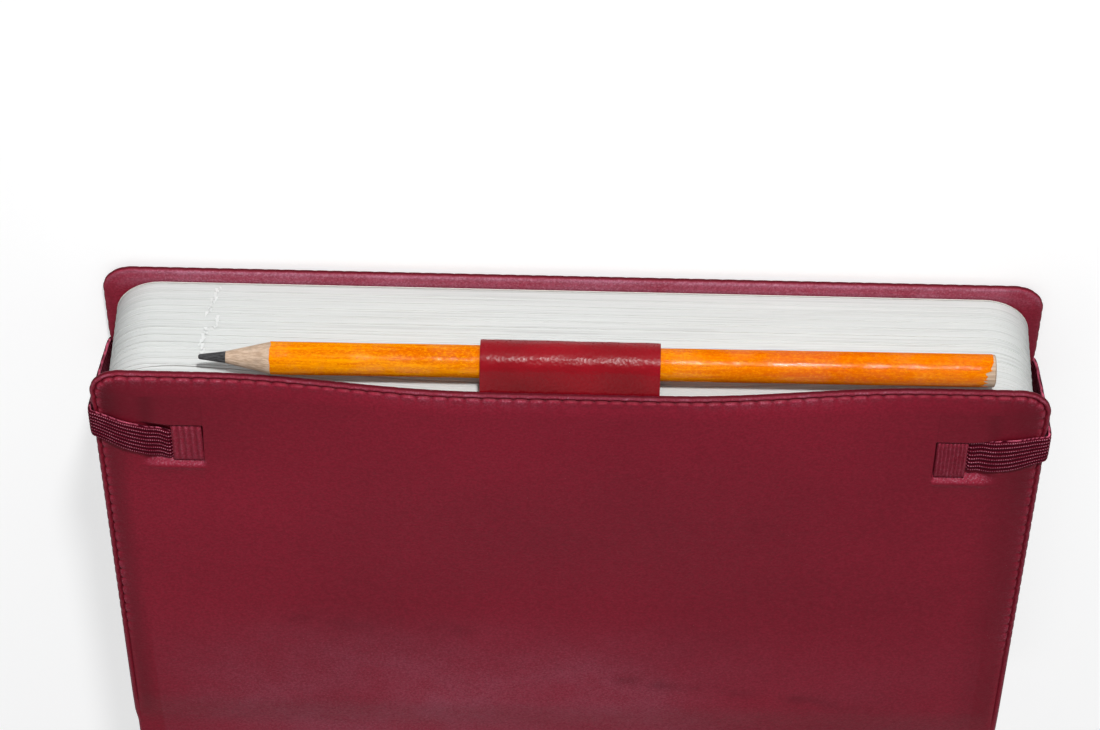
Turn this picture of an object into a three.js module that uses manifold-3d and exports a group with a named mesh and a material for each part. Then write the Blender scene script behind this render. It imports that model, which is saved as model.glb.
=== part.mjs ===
// A page-a-day diary in a padded case, closed by an elastic band, with a pencil in its loop.
// It lies on its front cover with the back cover up. X runs from head (-X) to tail (+X),
// the fore-edge faces -Y, the spine faces +Y, and Z is up. All lengths are millimetres.
import * as THREE from 'three';
import { mergeVertices } from 'three/addons/utils/BufferGeometryUtils.js';
import Module from 'manifold-3d';

const wasm = await Module();
wasm.setup();

// Case
const coverLength = 210;
const caseWidth = 148.4; // fore-edge of the covers to the back of the spine
const cornerRadius = 7;
const edgeThick = 1.8; // rolled lip round each cover
const crownRise = 0.8; // how far the padding stands above the lip
const crownReach = 8; // distance from the edge to the full height of the padding
const skinThick = 0.7;
const liningThick = 0.45; // turned-in skin and the pasted-down endpaper beside it
const turnIn = 6; // width of the turned-in skin round the inside of a cover
const seamInset = 1.5;
const seamDepth = 0.2;
const filmThick = 0.8; // bare skin that bends at a joint
const jointWidth = 8.5; // from the end of the padded panel to the bending line
const spineDepth = 3.9; // from the bending line to the back of the spine
const spineRadius = 3;
const spineBoardThick = 1;

// Back cover's bow over the pencil and the leaves that follow it
const bowHeight = 3.8;
const bowFlat = 16; // full bow from the fore-edge to here
const bowReach = 85; // no bow from here to the spine

// Leaves
const pageMargin = 2.7; // cover edge to page edge at the head and the tail
const pageInset = 3; // cover edge to page edge along the fore-edge
const pageRadius = 11;
const sectionCount = 12;
const sectionThick = 1.95;
const leafThick = 0.3;
const leafNames = ['leaf_before_last', 'last_leaf', 'back_flyleaf']; // upwards
const rootStep = 0.6; // each loose leaf is hinged this much nearer the spine than the one below
const mullThick = 0.5;
const mullFlap = 7;
const headbandRadius = 0.85;

// Elastic and its sockets in the back cover
const bandWidth = 8.8;
const bandThick = 0.9;
const socketMargin = 9.5; // from the end of the cover
const socketRun = 14.5; // along X
const socketFore = 17; // from the fore-edge
const socketWidth = 12.5; // along Y
const socketDepth = 1.5;
const socketFloor = 0.5;
const socketRadius = 0.6;
const padWidth = 6.8;
const ribHeight = 0.3;
const tongueThick = 0.35;
const bandExit = { head: 21.8, tail: 24.3 }; // middle of the band, from the fore-edge
const bandEdge = { head: 18.5, tail: 17 };
const padRibs = { head: 8, tail: 5 };
const bandRun = 29.5; // across the front cover

// Pencil and loop
const pencilRadius = 3.6;
const pencilLength = 172.7;
const pencilStart = 92; // blunt end, towards the head
const pencilOut = 3.1; // axis outside the fore-edge of the cover
const pencilDrop = 4; // axis below the outer face of the flat back cover
const pencilLean = 0.35; // degrees
const leadRadius = 1.1;
const coneLength = 9.7;
const pointLength = 6;
const loopLength = 39;
const loopThick = 0.85;
const tabLength = 10;

// Clearances
const nestGap = 0.1; // between layers of a cover
const layGap = 0.3; // between a cover and the leaves
const leafGap = 0.2;
const sectionGap = 0.15;
const loopGap = 0.35; // round the pencil
const bendGap = 0.25; // each side of a bending line
const wrapGap = 0.2; // band to what it wraps

// Heights, from the table
const coverThick = edgeThick + crownRise;
const halfLength = coverLength / 2;
const hingeLine = caseWidth - spineDepth;
const panelWidth = hingeLine - jointWidth;
const filmInner = (coverThick - filmThick) / 6;
const filmOuter = filmInner + filmThick;
const flyleafBase = coverThick + layGap;
const blockBase = flyleafBase + leafThick + leafGap;
const sectionPitch = sectionThick + sectionGap;
const blockTop = blockBase + sectionCount * sectionPitch - sectionGap;
const leavesBase = blockTop + leafGap;
const leafPitch = leafThick + leafGap;
const backInner = leavesBase + leafNames.length * leafPitch - leafGap + layGap;
const topHeight = backInner + coverThick;
const blockSpine = hingeLine + 0.7;
const leafRoot = blockSpine - mullFlap - 0.7;
const pageLength = coverLength - 2 * pageMargin;
const socketOuter = halfLength - socketMargin;
const socketInner = socketOuter - socketRun;

// Along X the bow is level behind the loop and ends before the sockets
const bowCrest = loopLength / 2 + 1;
const bowHalfLength = socketInner - 1;

// Loop and pencil axis, in the plane across the diary
const axisHeight = topHeight - pencilDrop;
const loopInner = pencilRadius + loopGap;
const loopOuter = loopInner + loopThick;
const centreShift = (caseWidth - pencilOut - loopOuter) / 2;

const leatherette = { color: 0x6e2030, roughness: 0.5, metalness: 0 };
const crimson = { color: 0x8c1424, roughness: 0.35, metalness: 0 };
const webbing = { color: 0x520a22, roughness: 0.8, metalness: 0 };
const paper = { color: 0xd9dad6, roughness: 0.9, metalness: 0 };
const endpaper = { color: 0xe8e4da, roughness: 0.9, metalness: 0 };
const board = { color: 0xa89878, roughness: 0.95, metalness: 0 };
const cloth = { color: 0xe9e6dd, roughness: 0.95, metalness: 0 };
const varnish = { color: 0xe07a00, roughness: 0.25, metalness: 0 };
const graphite = { color: 0x3a3a40, roughness: 0.45, metalness: 0.2 };

const diary = new THREE.Group();
diary.position.y = -centreShift;

function addPiece(name, geometry, finish) {
  const mesh = new THREE.Mesh(geometry, new THREE.MeshStandardMaterial(finish));
  mesh.name = name;
  diary.add(mesh);
  return mesh;
}

// Solids and booleans

function geometryFrom(points, faces) {
  const geometry = new THREE.BufferGeometry();
  const corners = faces.flat().flatMap((index) => points[index]);
  geometry.setAttribute('position', new THREE.Float32BufferAttribute(corners, 3));
  return mergeVertices(geometry, 1e-4);
}

function toSolid(geometry) {
  const bare = geometry.clone();
  bare.deleteAttribute('normal');
  bare.deleteAttribute('uv');
  const merged = mergeVertices(bare, 1e-4);
  const vertProperties = new Float32Array(merged.attributes.position.array);
  const triVerts = new Uint32Array(merged.index.array);
  return new wasm.Manifold(new wasm.Mesh({ numProp: 3, vertProperties, triVerts }));
}

function fromSolid(solid) {
  const mesh = solid.getMesh();
  const geometry = new THREE.BufferGeometry();
  const positions = Float32Array.from(mesh.vertProperties);
  geometry.setAttribute('position', new THREE.BufferAttribute(positions, mesh.numProp));
  geometry.setIndex(new THREE.BufferAttribute(Uint32Array.from(mesh.triVerts), 1));
  return geometry;
}

function block(x0, x1, y0, y1, z0, z1) {
  const box = new THREE.BoxGeometry(x1 - x0, y1 - y0, z1 - z0);
  box.translate((x0 + x1) / 2, (y0 + y1) / 2, (z0 + z1) / 2);
  return toSolid(box);
}

// A profile drawn across the diary (Y to the right, Z up) and run along X
function runAlongX(shape, x0, x1, steps = 1, curveSegments = 12) {
  const options = { depth: x1 - x0, bevelEnabled: false, steps, curveSegments };
  const geometry = new THREE.ExtrudeGeometry(shape, options);
  const turn = new THREE.Matrix4().makeBasis(
    new THREE.Vector3(0, 1, 0),
    new THREE.Vector3(0, 0, 1),
    new THREE.Vector3(1, 0, 0),
  );
  geometry.applyMatrix4(turn);
  geometry.translate(x0, 0, 0);
  return geometry;
}

// A profile drawn along the diary (X to the right, Z up) and run along Y
function runAlongY(shape, y0, y1) {
  const options = { depth: y1 - y0, bevelEnabled: false, curveSegments: 6 };
  const geometry = new THREE.ExtrudeGeometry(shape, options);
  const turn = new THREE.Matrix4().makeBasis(
    new THREE.Vector3(1, 0, 0),
    new THREE.Vector3(0, 0, 1),
    new THREE.Vector3(0, -1, 0),
  );
  geometry.applyMatrix4(turn);
  geometry.translate(0, y1, 0);
  return geometry;
}

// Front cover pieces are back cover pieces turned over about the case's mid height
function turnOver(geometry) {
  const flipped = geometry.clone();
  flipped.scale(1, 1, -1);
  flipped.translate(0, 0, topHeight);
  const index = flipped.index.array;
  for (let i = 0; i < index.length; i += 3) {
    [index[i + 1], index[i + 2]] = [index[i + 2], index[i + 1]];
  }
  return flipped;
}

// Swelling: the back cover bows out over the pencil, and the upper leaves follow it

function smoothStep(value, low, high) {
  const share = Math.min(1, Math.max(0, (value - low) / (high - low)));
  return share * share * (3 - 2 * share);
}

function bow(x, y) {
  if (Math.abs(x) >= bowHalfLength) return 0;
  const past = Math.max(0, Math.abs(x) - bowCrest) / (bowHalfLength - bowCrest);
  const along = Math.cos((Math.PI * past) / 2) ** 2;
  return bowHeight * along * (1 - smoothStep(y, bowFlat, bowReach));
}

function swell(geometry) {
  const position = geometry.attributes.position;
  const middle = (blockBase + blockTop) / 2;
  for (let i = 0; i < position.count; i += 1) {
    const z = position.getZ(i);
    const share = Math.min(1, Math.max(0, (z - middle) / (blockTop - middle)));
    position.setZ(i, z + share * bow(position.getX(i), position.getY(i)));
  }
  return geometry;
}

// Sheets with rounded fore-edge corners, lofted from rings of like outlines

const bowStep = (bowHalfLength - bowCrest) / 4;
const bowSide = [0, 1, 2, 3, 4].map((i) => bowCrest + i * bowStep);
const bowStationsX = [...bowSide.map((x) => -x).reverse(), ...bowSide];
const bowStationsY = [0, 1, 2, 3].map((i) => bowFlat + ((bowReach - bowFlat) * i) / 3);

function outline(sheet, inset, spineInset = inset) {
  const radius = Math.max(sheet.radius - inset, 0.4);
  const right = sheet.half - inset;
  const fore = sheet.fore + inset;
  const spine = sheet.spine - spineInset;
  const points = [];
  const arc = (cx, cy, from, to) => {
    for (let i = 0; i <= sheet.arcSteps; i += 1) {
      const angle = THREE.MathUtils.degToRad(from + ((to - from) * i) / sheet.arcSteps);
      points.push([cx + radius * Math.cos(angle), cy + radius * Math.sin(angle)]);
    }
  };
  sheet.stationsX.forEach((x) => points.push([x, fore]));
  arc(right - radius, fore + radius, -90, 0);
  sheet.stationsY.forEach((y) => points.push([right, y]));
  points.push([right, spine]);
  points.push([-right, spine]);
  [...sheet.stationsY].reverse().forEach((y) => points.push([-right, y]));
  arc(-right + radius, fore + radius, 180, 270);
  return points;
}

// The edge of the bowed region's grid, counterclockwise from its fore left corner
function gridEdge(xs, ys) {
  return [
    ...xs.map((x) => [x, ys[0]]),
    ...ys.slice(1).map((y) => [xs[xs.length - 1], y]),
    ...[...xs].reverse().slice(1).map((x) => [x, ys[ys.length - 1]]),
    ...[...ys].reverse().slice(1, -1).map((y) => [xs[0], y]),
  ];
}

function turnOf([ax, ay], [bx, by], [cx, cy]) {
  return (bx - ax) * (cy - ay) - (by - ay) * (cx - ax);
}

// Triangles between two counterclockwise loops, the shorter way across at each step.
// The outer loop moves on only while it still faces the inner edge that comes next.
function bandBetween(outer, inner) {
  const span = (a, b) => Math.hypot(a[0] - b[0], a[1] - b[1]);
  const near = (k) => inner[k % inner.length];
  const start = outer.reduce((best, point, k) => (
    span(point, near(0)) < span(outer[best], near(0)) ? k : best
  ), 0);
  const far = (k) => outer[(start + k) % outer.length];
  const faces = (...corner) => turnOf(...corner) > 1e-6;
  const triangles = [];
  let [i, j] = [0, 0];
  while (i < outer.length || j < inner.length) {
    const stillFaces = j >= inner.length || faces(far(i + 1), near(j + 1), near(j));
    const mustMove = j >= inner.length || !faces(far(i), near(j + 1), near(j));
    const shorter = span(far(i + 1), near(j)) <= span(far(i), near(j + 1));
    if (i < outer.length && stillFaces && (shorter || mustMove)) {
      triangles.push([far(i), far(i + 1), near(j)]);
      i += 1;
    } else {
      triangles.push([far(i), near(j + 1), near(j)]);
      j += 1;
    }
  }
  return triangles;
}

function flatCap(ring, sheet, upward) {
  const z = ring[0][2];
  const [xs, ys] = [sheet.stationsX, sheet.stationsY];
  const contour = ring.map(([x, y]) => new THREE.Vector2(x, y));
  const triangles = xs.length
    ? bandBetween(ring, gridEdge(xs, ys))
    : THREE.ShapeUtils.triangulateShape(contour, []).map((face) => face.map((k) => ring[k]));
  for (let i = 0; i + 1 < xs.length; i += 1) {
    for (let j = 0; j + 1 < ys.length; j += 1) {
      const [a, b] = [[xs[i], ys[j]], [xs[i + 1], ys[j]]];
      const [c, d] = [[xs[i + 1], ys[j + 1]], [xs[i], ys[j + 1]]];
      triangles.push([a, b, c], [a, c, d]);
    }
  }
  return triangles.flatMap(([a, b, c]) => {
    const order = turnOf(a, b, c) > 0 === upward ? [a, b, c] : [a, c, b];
    return order.map(([x, y]) => [x, y, z]);
  });
}

// rings: [inset, height] or [inset, height, inset at the spine], lower cap first
function loft(sheet, rings) {
  const loops = rings.map(([inset, height, spineInset]) => (
    outline(sheet, inset, spineInset).map(([x, y]) => [x, y, height])
  ));
  const corners = [...flatCap(loops[0], sheet, false)];
  for (let r = 0; r + 1 < loops.length; r += 1) {
    const low = loops[r];
    const high = loops[r + 1];
    low.forEach((point, i) => {
      const next = (i + 1) % low.length;
      corners.push(point, low[next], high[next], point, high[next], high[i]);
    });
  }
  corners.push(...flatCap(loops[loops.length - 1], sheet, true));
  const faces = Array.from({ length: corners.length }, (_, i) => [i]);
  return geometryFrom(corners, faces);
}

function coverSheet(bowed) {
  return {
    half: halfLength,
    fore: 0,
    spine: panelWidth,
    radius: cornerRadius,
    arcSteps: 6,
    stationsX: bowed ? bowStationsX : [],
    stationsY: bowed ? bowStationsY : [],
  };
}

function pageSheet(bowed, spine) {
  return {
    half: pageLength / 2,
    fore: pageInset,
    spine,
    radius: pageRadius,
    arcSteps: 5,
    stationsX: bowed ? bowStationsX : [],
    stationsY: bowed ? bowStationsY : [],
  };
}

// Padded cover panels, built at the back cover's height
function panel(bowed, rings) {
  const sheet = loft(coverSheet(bowed), rings);
  return toSolid(bowed ? swell(sheet) : sheet);
}

const lip = edgeThick / 2;
const sideWall = seamInset + nestGap;

// Outer surface from the inner edge of the lip, over the seam, to the top of the padding
function outerRings(z) {
  const lipRings = [0, 35, 70, 110, 145, 180].map((degrees) => {
    const angle = THREE.MathUtils.degToRad(degrees);
    return [lip - lip * Math.sin(angle), z + lip - lip * Math.cos(angle)];
  });
  return [
    ...lipRings,
    [seamInset, z + edgeThick - seamDepth],
    [seamInset + 0.6, z + edgeThick + crownRise * 0.12],
    [crownReach * 0.5, z + edgeThick + crownRise * 0.72],
    [crownReach, z + coverThick],
  ];
}

function pocketRings(z) {
  return [
    [crownReach, z + coverThick - skinThick],
    [crownReach * 0.45, z + (coverThick - skinThick) * 0.72],
    [sideWall, z + edgeThick - skinThick - seamDepth - nestGap],
    [sideWall, z + liningThick],
  ];
}

function coverSkin(bowed) {
  const z = backInner;
  const rings = [
    ...pocketRings(z),
    [turnIn, z + liningThick],
    [turnIn, z],
    ...outerRings(z),
  ];
  const padded = panel(bowed, rings);
  const inset = lip / 2;
  const film = block(
    -halfLength + inset, halfLength - inset,
    panelWidth - lip, hingeLine - bendGap,
    z + filmInner, z + filmOuter,
  );
  return padded.add(film);
}

function coverEnvelope(bowed) {
  return panel(bowed, outerRings(backInner));
}

function coverBoard(bowed) {
  const z = backInner;
  const low = z + liningThick + nestGap;
  const high = z + coverThick - skinThick - nestGap;
  const inset = sideWall + nestGap * 5;
  const rings = [
    [inset, low],
    [inset, low + nestGap],
    [crownReach * 0.5, z + (coverThick - skinThick) * 0.67],
    [crownReach, high],
  ];
  return panel(bowed, rings);
}

function coverLining(bowed) {
  const inset = turnIn + nestGap * 2;
  const rings = [[inset, backInner], [inset, backInner + liningThick]];
  return panel(bowed, rings);
}

// Front cover: the band presses a shallow channel across its padding

const channelRoof = nestGap + bandThick + wrapGap;
const channelHalf = bandWidth / 2 + wrapGap * 2;

function underside(x, halfY, z0, z1) {
  return block(-x, x, bandRun - halfY, bandRun + halfY, topHeight - z1, topHeight - z0);
}

function buildFrontCover() {
  const wall = 0.55;
  const trough = underside(halfLength - sideWall, channelHalf + wall, 0, channelRoof + wall)
    .intersect(coverEnvelope(false));
  const channel = underside(halfLength + bandThick, channelHalf, -1, channelRoof);
  const room = underside(halfLength, channelHalf + wall + nestGap, -1, channelRoof + wall + nestGap);
  const skin = coverSkin(false).add(trough).subtract(channel);
  addPiece('front_cover_skin', turnOver(fromSolid(skin)), leatherette);
  addPiece('front_cover_board', turnOver(fromSolid(coverBoard(false).subtract(room))), board);
  addPiece('front_pastedown', turnOver(fromSolid(coverLining(false))), endpaper);
}

// Back cover: two sockets hold the ends of the band, and a notch seats the loop's tab

function roundedBlock(x0, x1, y0, y1, radius, z0, z1) {
  const shape = new THREE.Shape();
  shape.moveTo(x0 + radius, y0);
  shape.lineTo(x1 - radius, y0);
  shape.absarc(x1 - radius, y0 + radius, radius, -Math.PI / 2, 0, false);
  shape.lineTo(x1, y1 - radius);
  shape.absarc(x1 - radius, y1 - radius, radius, 0, Math.PI / 2, false);
  shape.lineTo(x0 + radius, y1);
  shape.absarc(x0 + radius, y1 - radius, radius, Math.PI / 2, Math.PI, false);
  shape.lineTo(x0, y0 + radius);
  shape.absarc(x0 + radius, y0 + radius, radius, Math.PI, Math.PI * 1.5, false);
  const options = { depth: z1 - z0, bevelEnabled: false, curveSegments: 3 };
  const geometry = new THREE.ExtrudeGeometry(shape, options);
  geometry.translate(0, 0, z0);
  return toSolid(geometry);
}

const socketFloorTop = topHeight - socketDepth;
const tabBase = backInner + bowHeight;

function socketSpace(side, grow, z0, z1) {
  const [near, far] = [side * socketInner - side * grow, side * socketOuter + side * grow];
  const y0 = socketFore - grow;
  const y1 = socketFore + socketWidth + grow;
  return roundedBlock(Math.min(near, far), Math.max(near, far), y0, y1, socketRadius + grow, z0, z1);
}

function buildBackCover() {
  const wall = 0.6;
  const notchRoof = tabBase + loopThick + nestGap;
  const notchHalf = loopLength / 2 + wrapGap;
  const notch = block(-notchHalf, notchHalf, -1, tabLength + wrapGap, tabBase - 1, notchRoof);
  let skin = coverSkin(true);
  let padding = coverBoard(true).subtract(notch);
  for (const side of [-1, 1]) {
    const tray = socketSpace(side, wall, socketFloorTop - socketFloor, topHeight - skinThick / 2);
    skin = skin.add(tray).subtract(socketSpace(side, 0, socketFloorTop, topHeight + 1));
    padding = padding.subtract(socketSpace(side, wall + nestGap, backInner, topHeight));
  }
  addPiece('back_cover_skin', fromSolid(skin.subtract(notch)), leatherette);
  addPiece('back_cover_board', fromSolid(padding), board);
  addPiece('back_pastedown', fromSolid(coverLining(true).subtract(notch)), endpaper);
}

// Welded pads: ribs run across the end of the band that they clamp

function buildPads() {
  const base = socketFloorTop + nestGap + tongueThick + nestGap;
  const top = topHeight - ribHeight;
  for (const [name, side] of [['head', -1], ['tail', 1]]) {
    const start = side > 0 ? socketInner + wrapGap : -socketInner - wrapGap - padWidth;
    const pitch = padWidth / padRibs[name];
    const shape = new THREE.Shape();
    shape.moveTo(start, base);
    shape.lineTo(start + padWidth, base);
    for (let i = padRibs[name]; i > 0; i -= 1) {
      const right = start + i * pitch;
      shape.lineTo(right, top);
      shape.lineTo(right - pitch * 0.25, top + ribHeight);
      shape.lineTo(right - pitch * 0.75, top + ribHeight);
    }
    shape.lineTo(start, top);
    const y0 = socketFore + wrapGap;
    const y1 = socketFore + socketWidth - wrapGap;
    addPiece(`${name}_anchor_pad`, runAlongY(shape, y0, y1), leatherette);
  }
}

// Elastic band: from one pad, round the head, under the front cover, to the other pad

function bandStations(name, side) {
  const lie = socketFloorTop + nestGap;
  const fold = wrapGap + bandThick;
  const legX = halfLength + wrapGap + bandThick / 2;
  const padEdge = socketInner + wrapGap + padWidth;
  const crest = topHeight + nestGap * 1.5 + bandThick / 2;
  const shoulder = crest - crownRise * 0.25;
  const overLip = backInner + edgeThick + nestGap + bandThick / 2;
  const exit = bandExit[name];
  const edge = bandEdge[name];
  const foldX = legX - fold;
  const bottom = nestGap + bandThick / 2;
  const rows = [
    [socketInner + 1, lie + tongueThick / 2, exit, tongueThick, 90],
    [padEdge, lie + tongueThick / 2, exit, tongueThick, 90],
    [padEdge + wrapGap, lie + bandThick / 2, exit, bandThick, 90],
    [socketOuter - 5, lie + bandThick / 2, exit, bandThick, 90],
    [socketOuter - 0.4, crest, exit, bandThick, 90],
    [halfLength - crownReach + 1, crest, (exit + edge * 2) / 3, bandThick, 85],
    [halfLength - crownReach / 2, shoulder, edge, bandThick, 85],
    [foldX, overLip, edge, bandThick, 90],
    [foldX + fold * Math.SQRT1_2, overLip - fold * (1 - Math.SQRT1_2), edge, bandThick, 45],
    [legX, overLip - fold, edge, bandThick, 0],
    [legX, (overLip + bottom) / 2, (edge + bandRun) / 2, bandThick, 0],
    [legX, bottom + fold, bandRun, bandThick, 0],
    [foldX + fold * Math.SQRT1_2, bottom + fold * (1 - Math.SQRT1_2), bandRun, bandThick, -45],
    [foldX, bottom, bandRun, bandThick, -90],
  ];
  return rows.map(([x, z, y, thick, outward]) => {
    const angle = THREE.MathUtils.degToRad(outward);
    return { x: side * x, y, z, thick, nx: side * Math.cos(angle), nz: Math.sin(angle) };
  });
}

function buildBand() {
  const stations = [...bandStations('head', -1), ...bandStations('tail', 1).reverse()];
  const points = stations.flatMap(({ x, y, z, thick, nx, nz }) => {
    const [dx, dz] = [(nx * thick) / 2, (nz * thick) / 2];
    const [fore, rear] = [y - bandWidth / 2, y + bandWidth / 2];
    return [
      [x - dx, fore, z - dz],
      [x - dx, rear, z - dz],
      [x + dx, rear, z + dz],
      [x + dx, fore, z + dz],
    ];
  });
  const last = points.length - 4;
  const faces = [[0, 1, 2], [0, 2, 3], [last, last + 2, last + 1], [last, last + 3, last + 2]];
  for (let s = 0; s + 1 < stations.length; s += 1) {
    for (let i = 0; i < 4; i += 1) {
      const [a, b] = [s * 4 + i, s * 4 + ((i + 1) % 4)];
      faces.push([a, b + 4, b], [a, a + 4, b + 4]);
    }
  }
  addPiece('elastic_band', geometryFrom(points, faces), webbing);
}

// Loop: a strip wrapped round the pencil, its two ends joined as a tab in the back cover

function buildLoop() {
  const tabRoof = tabBase + loopThick;
  const centreY = -pencilOut;
  const toTab = Math.hypot(pencilOut, tabRoof - axisHeight);
  const sweep = Math.acos(loopOuter / toTab);
  const tangent = Math.atan2(tabRoof - axisHeight, pencilOut) + sweep;
  const shape = new THREE.Shape();
  const rear = centreY + loopOuter;
  shape.moveTo(tabLength, tabRoof);
  shape.lineTo(0, tabRoof);
  shape.absarc(centreY, axisHeight, loopOuter, tangent, Math.PI * 2, false);
  shape.lineTo(rear, tabBase);
  shape.lineTo(tabLength, tabBase);
  shape.closePath();
  const bore = new THREE.Path();
  bore.absarc(centreY, axisHeight, loopInner, 0, Math.PI * 2, true);
  shape.holes.push(bore);
  addPiece('pencil_loop', runAlongX(shape, -loopLength / 2, loopLength / 2, 1, 24), crimson);
}

// Pencil: a turned barrel and its lead, leaning slightly in the loop

function turned(profile, segments) {
  const points = profile.map(([radius, along]) => new THREE.Vector2(radius, along));
  const geometry = new THREE.LatheGeometry(points, segments);
  geometry.rotateZ(-Math.PI / 2);
  geometry.translate(-pencilStart, 0, 0);
  return geometry;
}

function buildPencil() {
  const pencil = new THREE.Group();
  pencil.position.set(0, -pencilOut, axisHeight);
  pencil.rotation.y = -THREE.MathUtils.degToRad(pencilLean);
  const paintEnd = pencilLength - pointLength - coneLength;
  const woodEnd = pencilLength - pointLength;
  const bore = leadRadius + nestGap;
  const barrel = turned([
    [bore, 0],
    [pencilRadius - 0.3, 0],
    [pencilRadius, 0.3],
    [pencilRadius, paintEnd],
    [pencilRadius - 0.12, paintEnd + 0.15],
    [bore + 0.12, woodEnd],
    [bore, woodEnd],
    [bore, 0],
  ], 28);
  const lead = turned([
    [0, nestGap],
    [leadRadius, nestGap],
    [leadRadius, woodEnd],
    [0.35, pencilLength - 0.35],
    [0.2, pencilLength - 0.08],
    [0, pencilLength],
  ], 16);
  pencil.add(addPiece('pencil_barrel', barrel, varnish));
  pencil.add(addPiece('pencil_lead', lead, graphite));
  diary.add(pencil);
}

// Text block: folded sections, endleaves, mull, headbands and the hollow spine

function sectionSolid(base, bowed) {
  const fold = sectionThick * 0.3;
  return loft(pageSheet(bowed, blockSpine), [
    [0, base, fold],
    [0, base + fold, 0],
    [0, base + sectionThick - fold, 0],
    [0, base + sectionThick, fold],
  ]);
}

function leafSolid(base, root, bowed) {
  return loft(pageSheet(bowed, root), [[0, base], [0, base + leafThick]]);
}

function buildTextBlock() {
  for (let i = 0; i < sectionCount; i += 1) {
    const base = blockBase + i * sectionPitch;
    const bowed = base + sectionThick > (blockBase + blockTop) / 2;
    const name = `section_${String(i + 1).padStart(2, '0')}`;
    addPiece(name, swell(sectionSolid(base, bowed)), paper);
  }
  addPiece('front_flyleaf', leafSolid(flyleafBase, leafRoot, false), endpaper);
  leafNames.forEach((name, i) => {
    const root = leafRoot - (leafNames.length - 1 - i) * rootStep;
    const finish = name === 'back_flyleaf' ? endpaper : paper;
    addPiece(name, swell(leafSolid(leavesBase + i * leafPitch, root, true)), finish);
  });
}

function buildMull() {
  const inner = blockSpine + sectionGap;
  const outer = inner + mullThick;
  const [low, high] = [blockBase - sectionGap, blockTop + sectionGap];
  const edge = blockSpine - mullFlap;
  const shape = new THREE.Shape();
  shape.moveTo(edge, low - mullThick);
  shape.lineTo(outer, low - mullThick);
  shape.lineTo(outer, high + mullThick);
  shape.lineTo(edge, high + mullThick);
  shape.lineTo(edge, high);
  shape.lineTo(inner, high);
  shape.lineTo(inner, low);
  shape.lineTo(edge, low);
  shape.closePath();
  const half = pageLength / 2 - mullFlap;
  addPiece('mull', runAlongX(shape, -half, half), cloth);
}

function buildHeadbands() {
  const [low, high] = [blockBase + mullThick, blockTop - mullThick];
  const profile = [
    [0, low],
    [headbandRadius * 0.7, low + headbandRadius * 0.3],
    [headbandRadius, low + headbandRadius],
    [headbandRadius, high - headbandRadius],
    [headbandRadius * 0.7, high - headbandRadius * 0.3],
    [0, high],
  ];
  const points = profile.map(([radius, z]) => new THREE.Vector2(radius, z));
  for (const [name, side] of [['headband', -1], ['tailband', 1]]) {
    const bead = new THREE.LatheGeometry(points, 10);
    bead.rotateX(Math.PI / 2);
    const x = side * (pageLength / 2 + nestGap + headbandRadius);
    bead.translate(x, blockSpine - headbandRadius, 0);
    addPiece(name, bead, cloth);
  }
}

function buildSpine() {
  const start = hingeLine + bendGap;
  const filmLow = backInner + filmInner;
  const filmHigh = backInner + filmOuter;
  const mirror = (z) => topHeight - z;
  const bend = caseWidth - spineRadius;
  const innerRadius = spineRadius - filmThick;
  const wall = caseWidth - filmThick;
  const shape = new THREE.Shape();
  shape.moveTo(start, mirror(filmHigh));
  shape.lineTo(bend, mirror(filmHigh));
  shape.absarc(bend, mirror(filmHigh) + spineRadius, spineRadius, -Math.PI / 2, 0, false);
  shape.lineTo(caseWidth, filmHigh - spineRadius);
  shape.absarc(bend, filmHigh - spineRadius, spineRadius, 0, Math.PI / 2, false);
  shape.lineTo(start, filmHigh);
  shape.lineTo(start, filmLow);
  shape.lineTo(bend, filmLow);
  shape.absarc(bend, filmLow - innerRadius, innerRadius, Math.PI / 2, 0, true);
  shape.lineTo(wall, mirror(filmLow) + innerRadius);
  shape.absarc(bend, mirror(filmLow) + innerRadius, innerRadius, 0, -Math.PI / 2, true);
  shape.lineTo(start, mirror(filmLow));
  shape.closePath();
  const half = halfLength - lip / 2;
  addPiece('spine_skin', runAlongX(shape, -half, half, 1, 5), leatherette);
  const boardLow = mirror(filmLow) + innerRadius;
  const stiff = block(
    -half + 1, half - 1,
    wall - nestGap - spineBoardThick, wall - nestGap,
    boardLow, topHeight - boardLow,
  );
  addPiece('spine_board', fromSolid(stiff), board);
}

buildFrontCover();
buildTextBlock();
buildMull();
buildHeadbands();
buildSpine();
buildBackCover();
buildPads();
buildBand();
buildLoop();
buildPencil();

export default diary;
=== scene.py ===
"""A padded page-a-day diary with an elastic band, and a round pencil in its loop.

Lengths are millimetres here, written as in the part: x from head to tail, y from the fore-edge of the
covers towards the spine, z up from the table. to_row() turns them into metres in the row's frame.
"""

import math
import random

import bmesh
import bpy
import numpy as np
from mathutils import Matrix, Vector, noise

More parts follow.
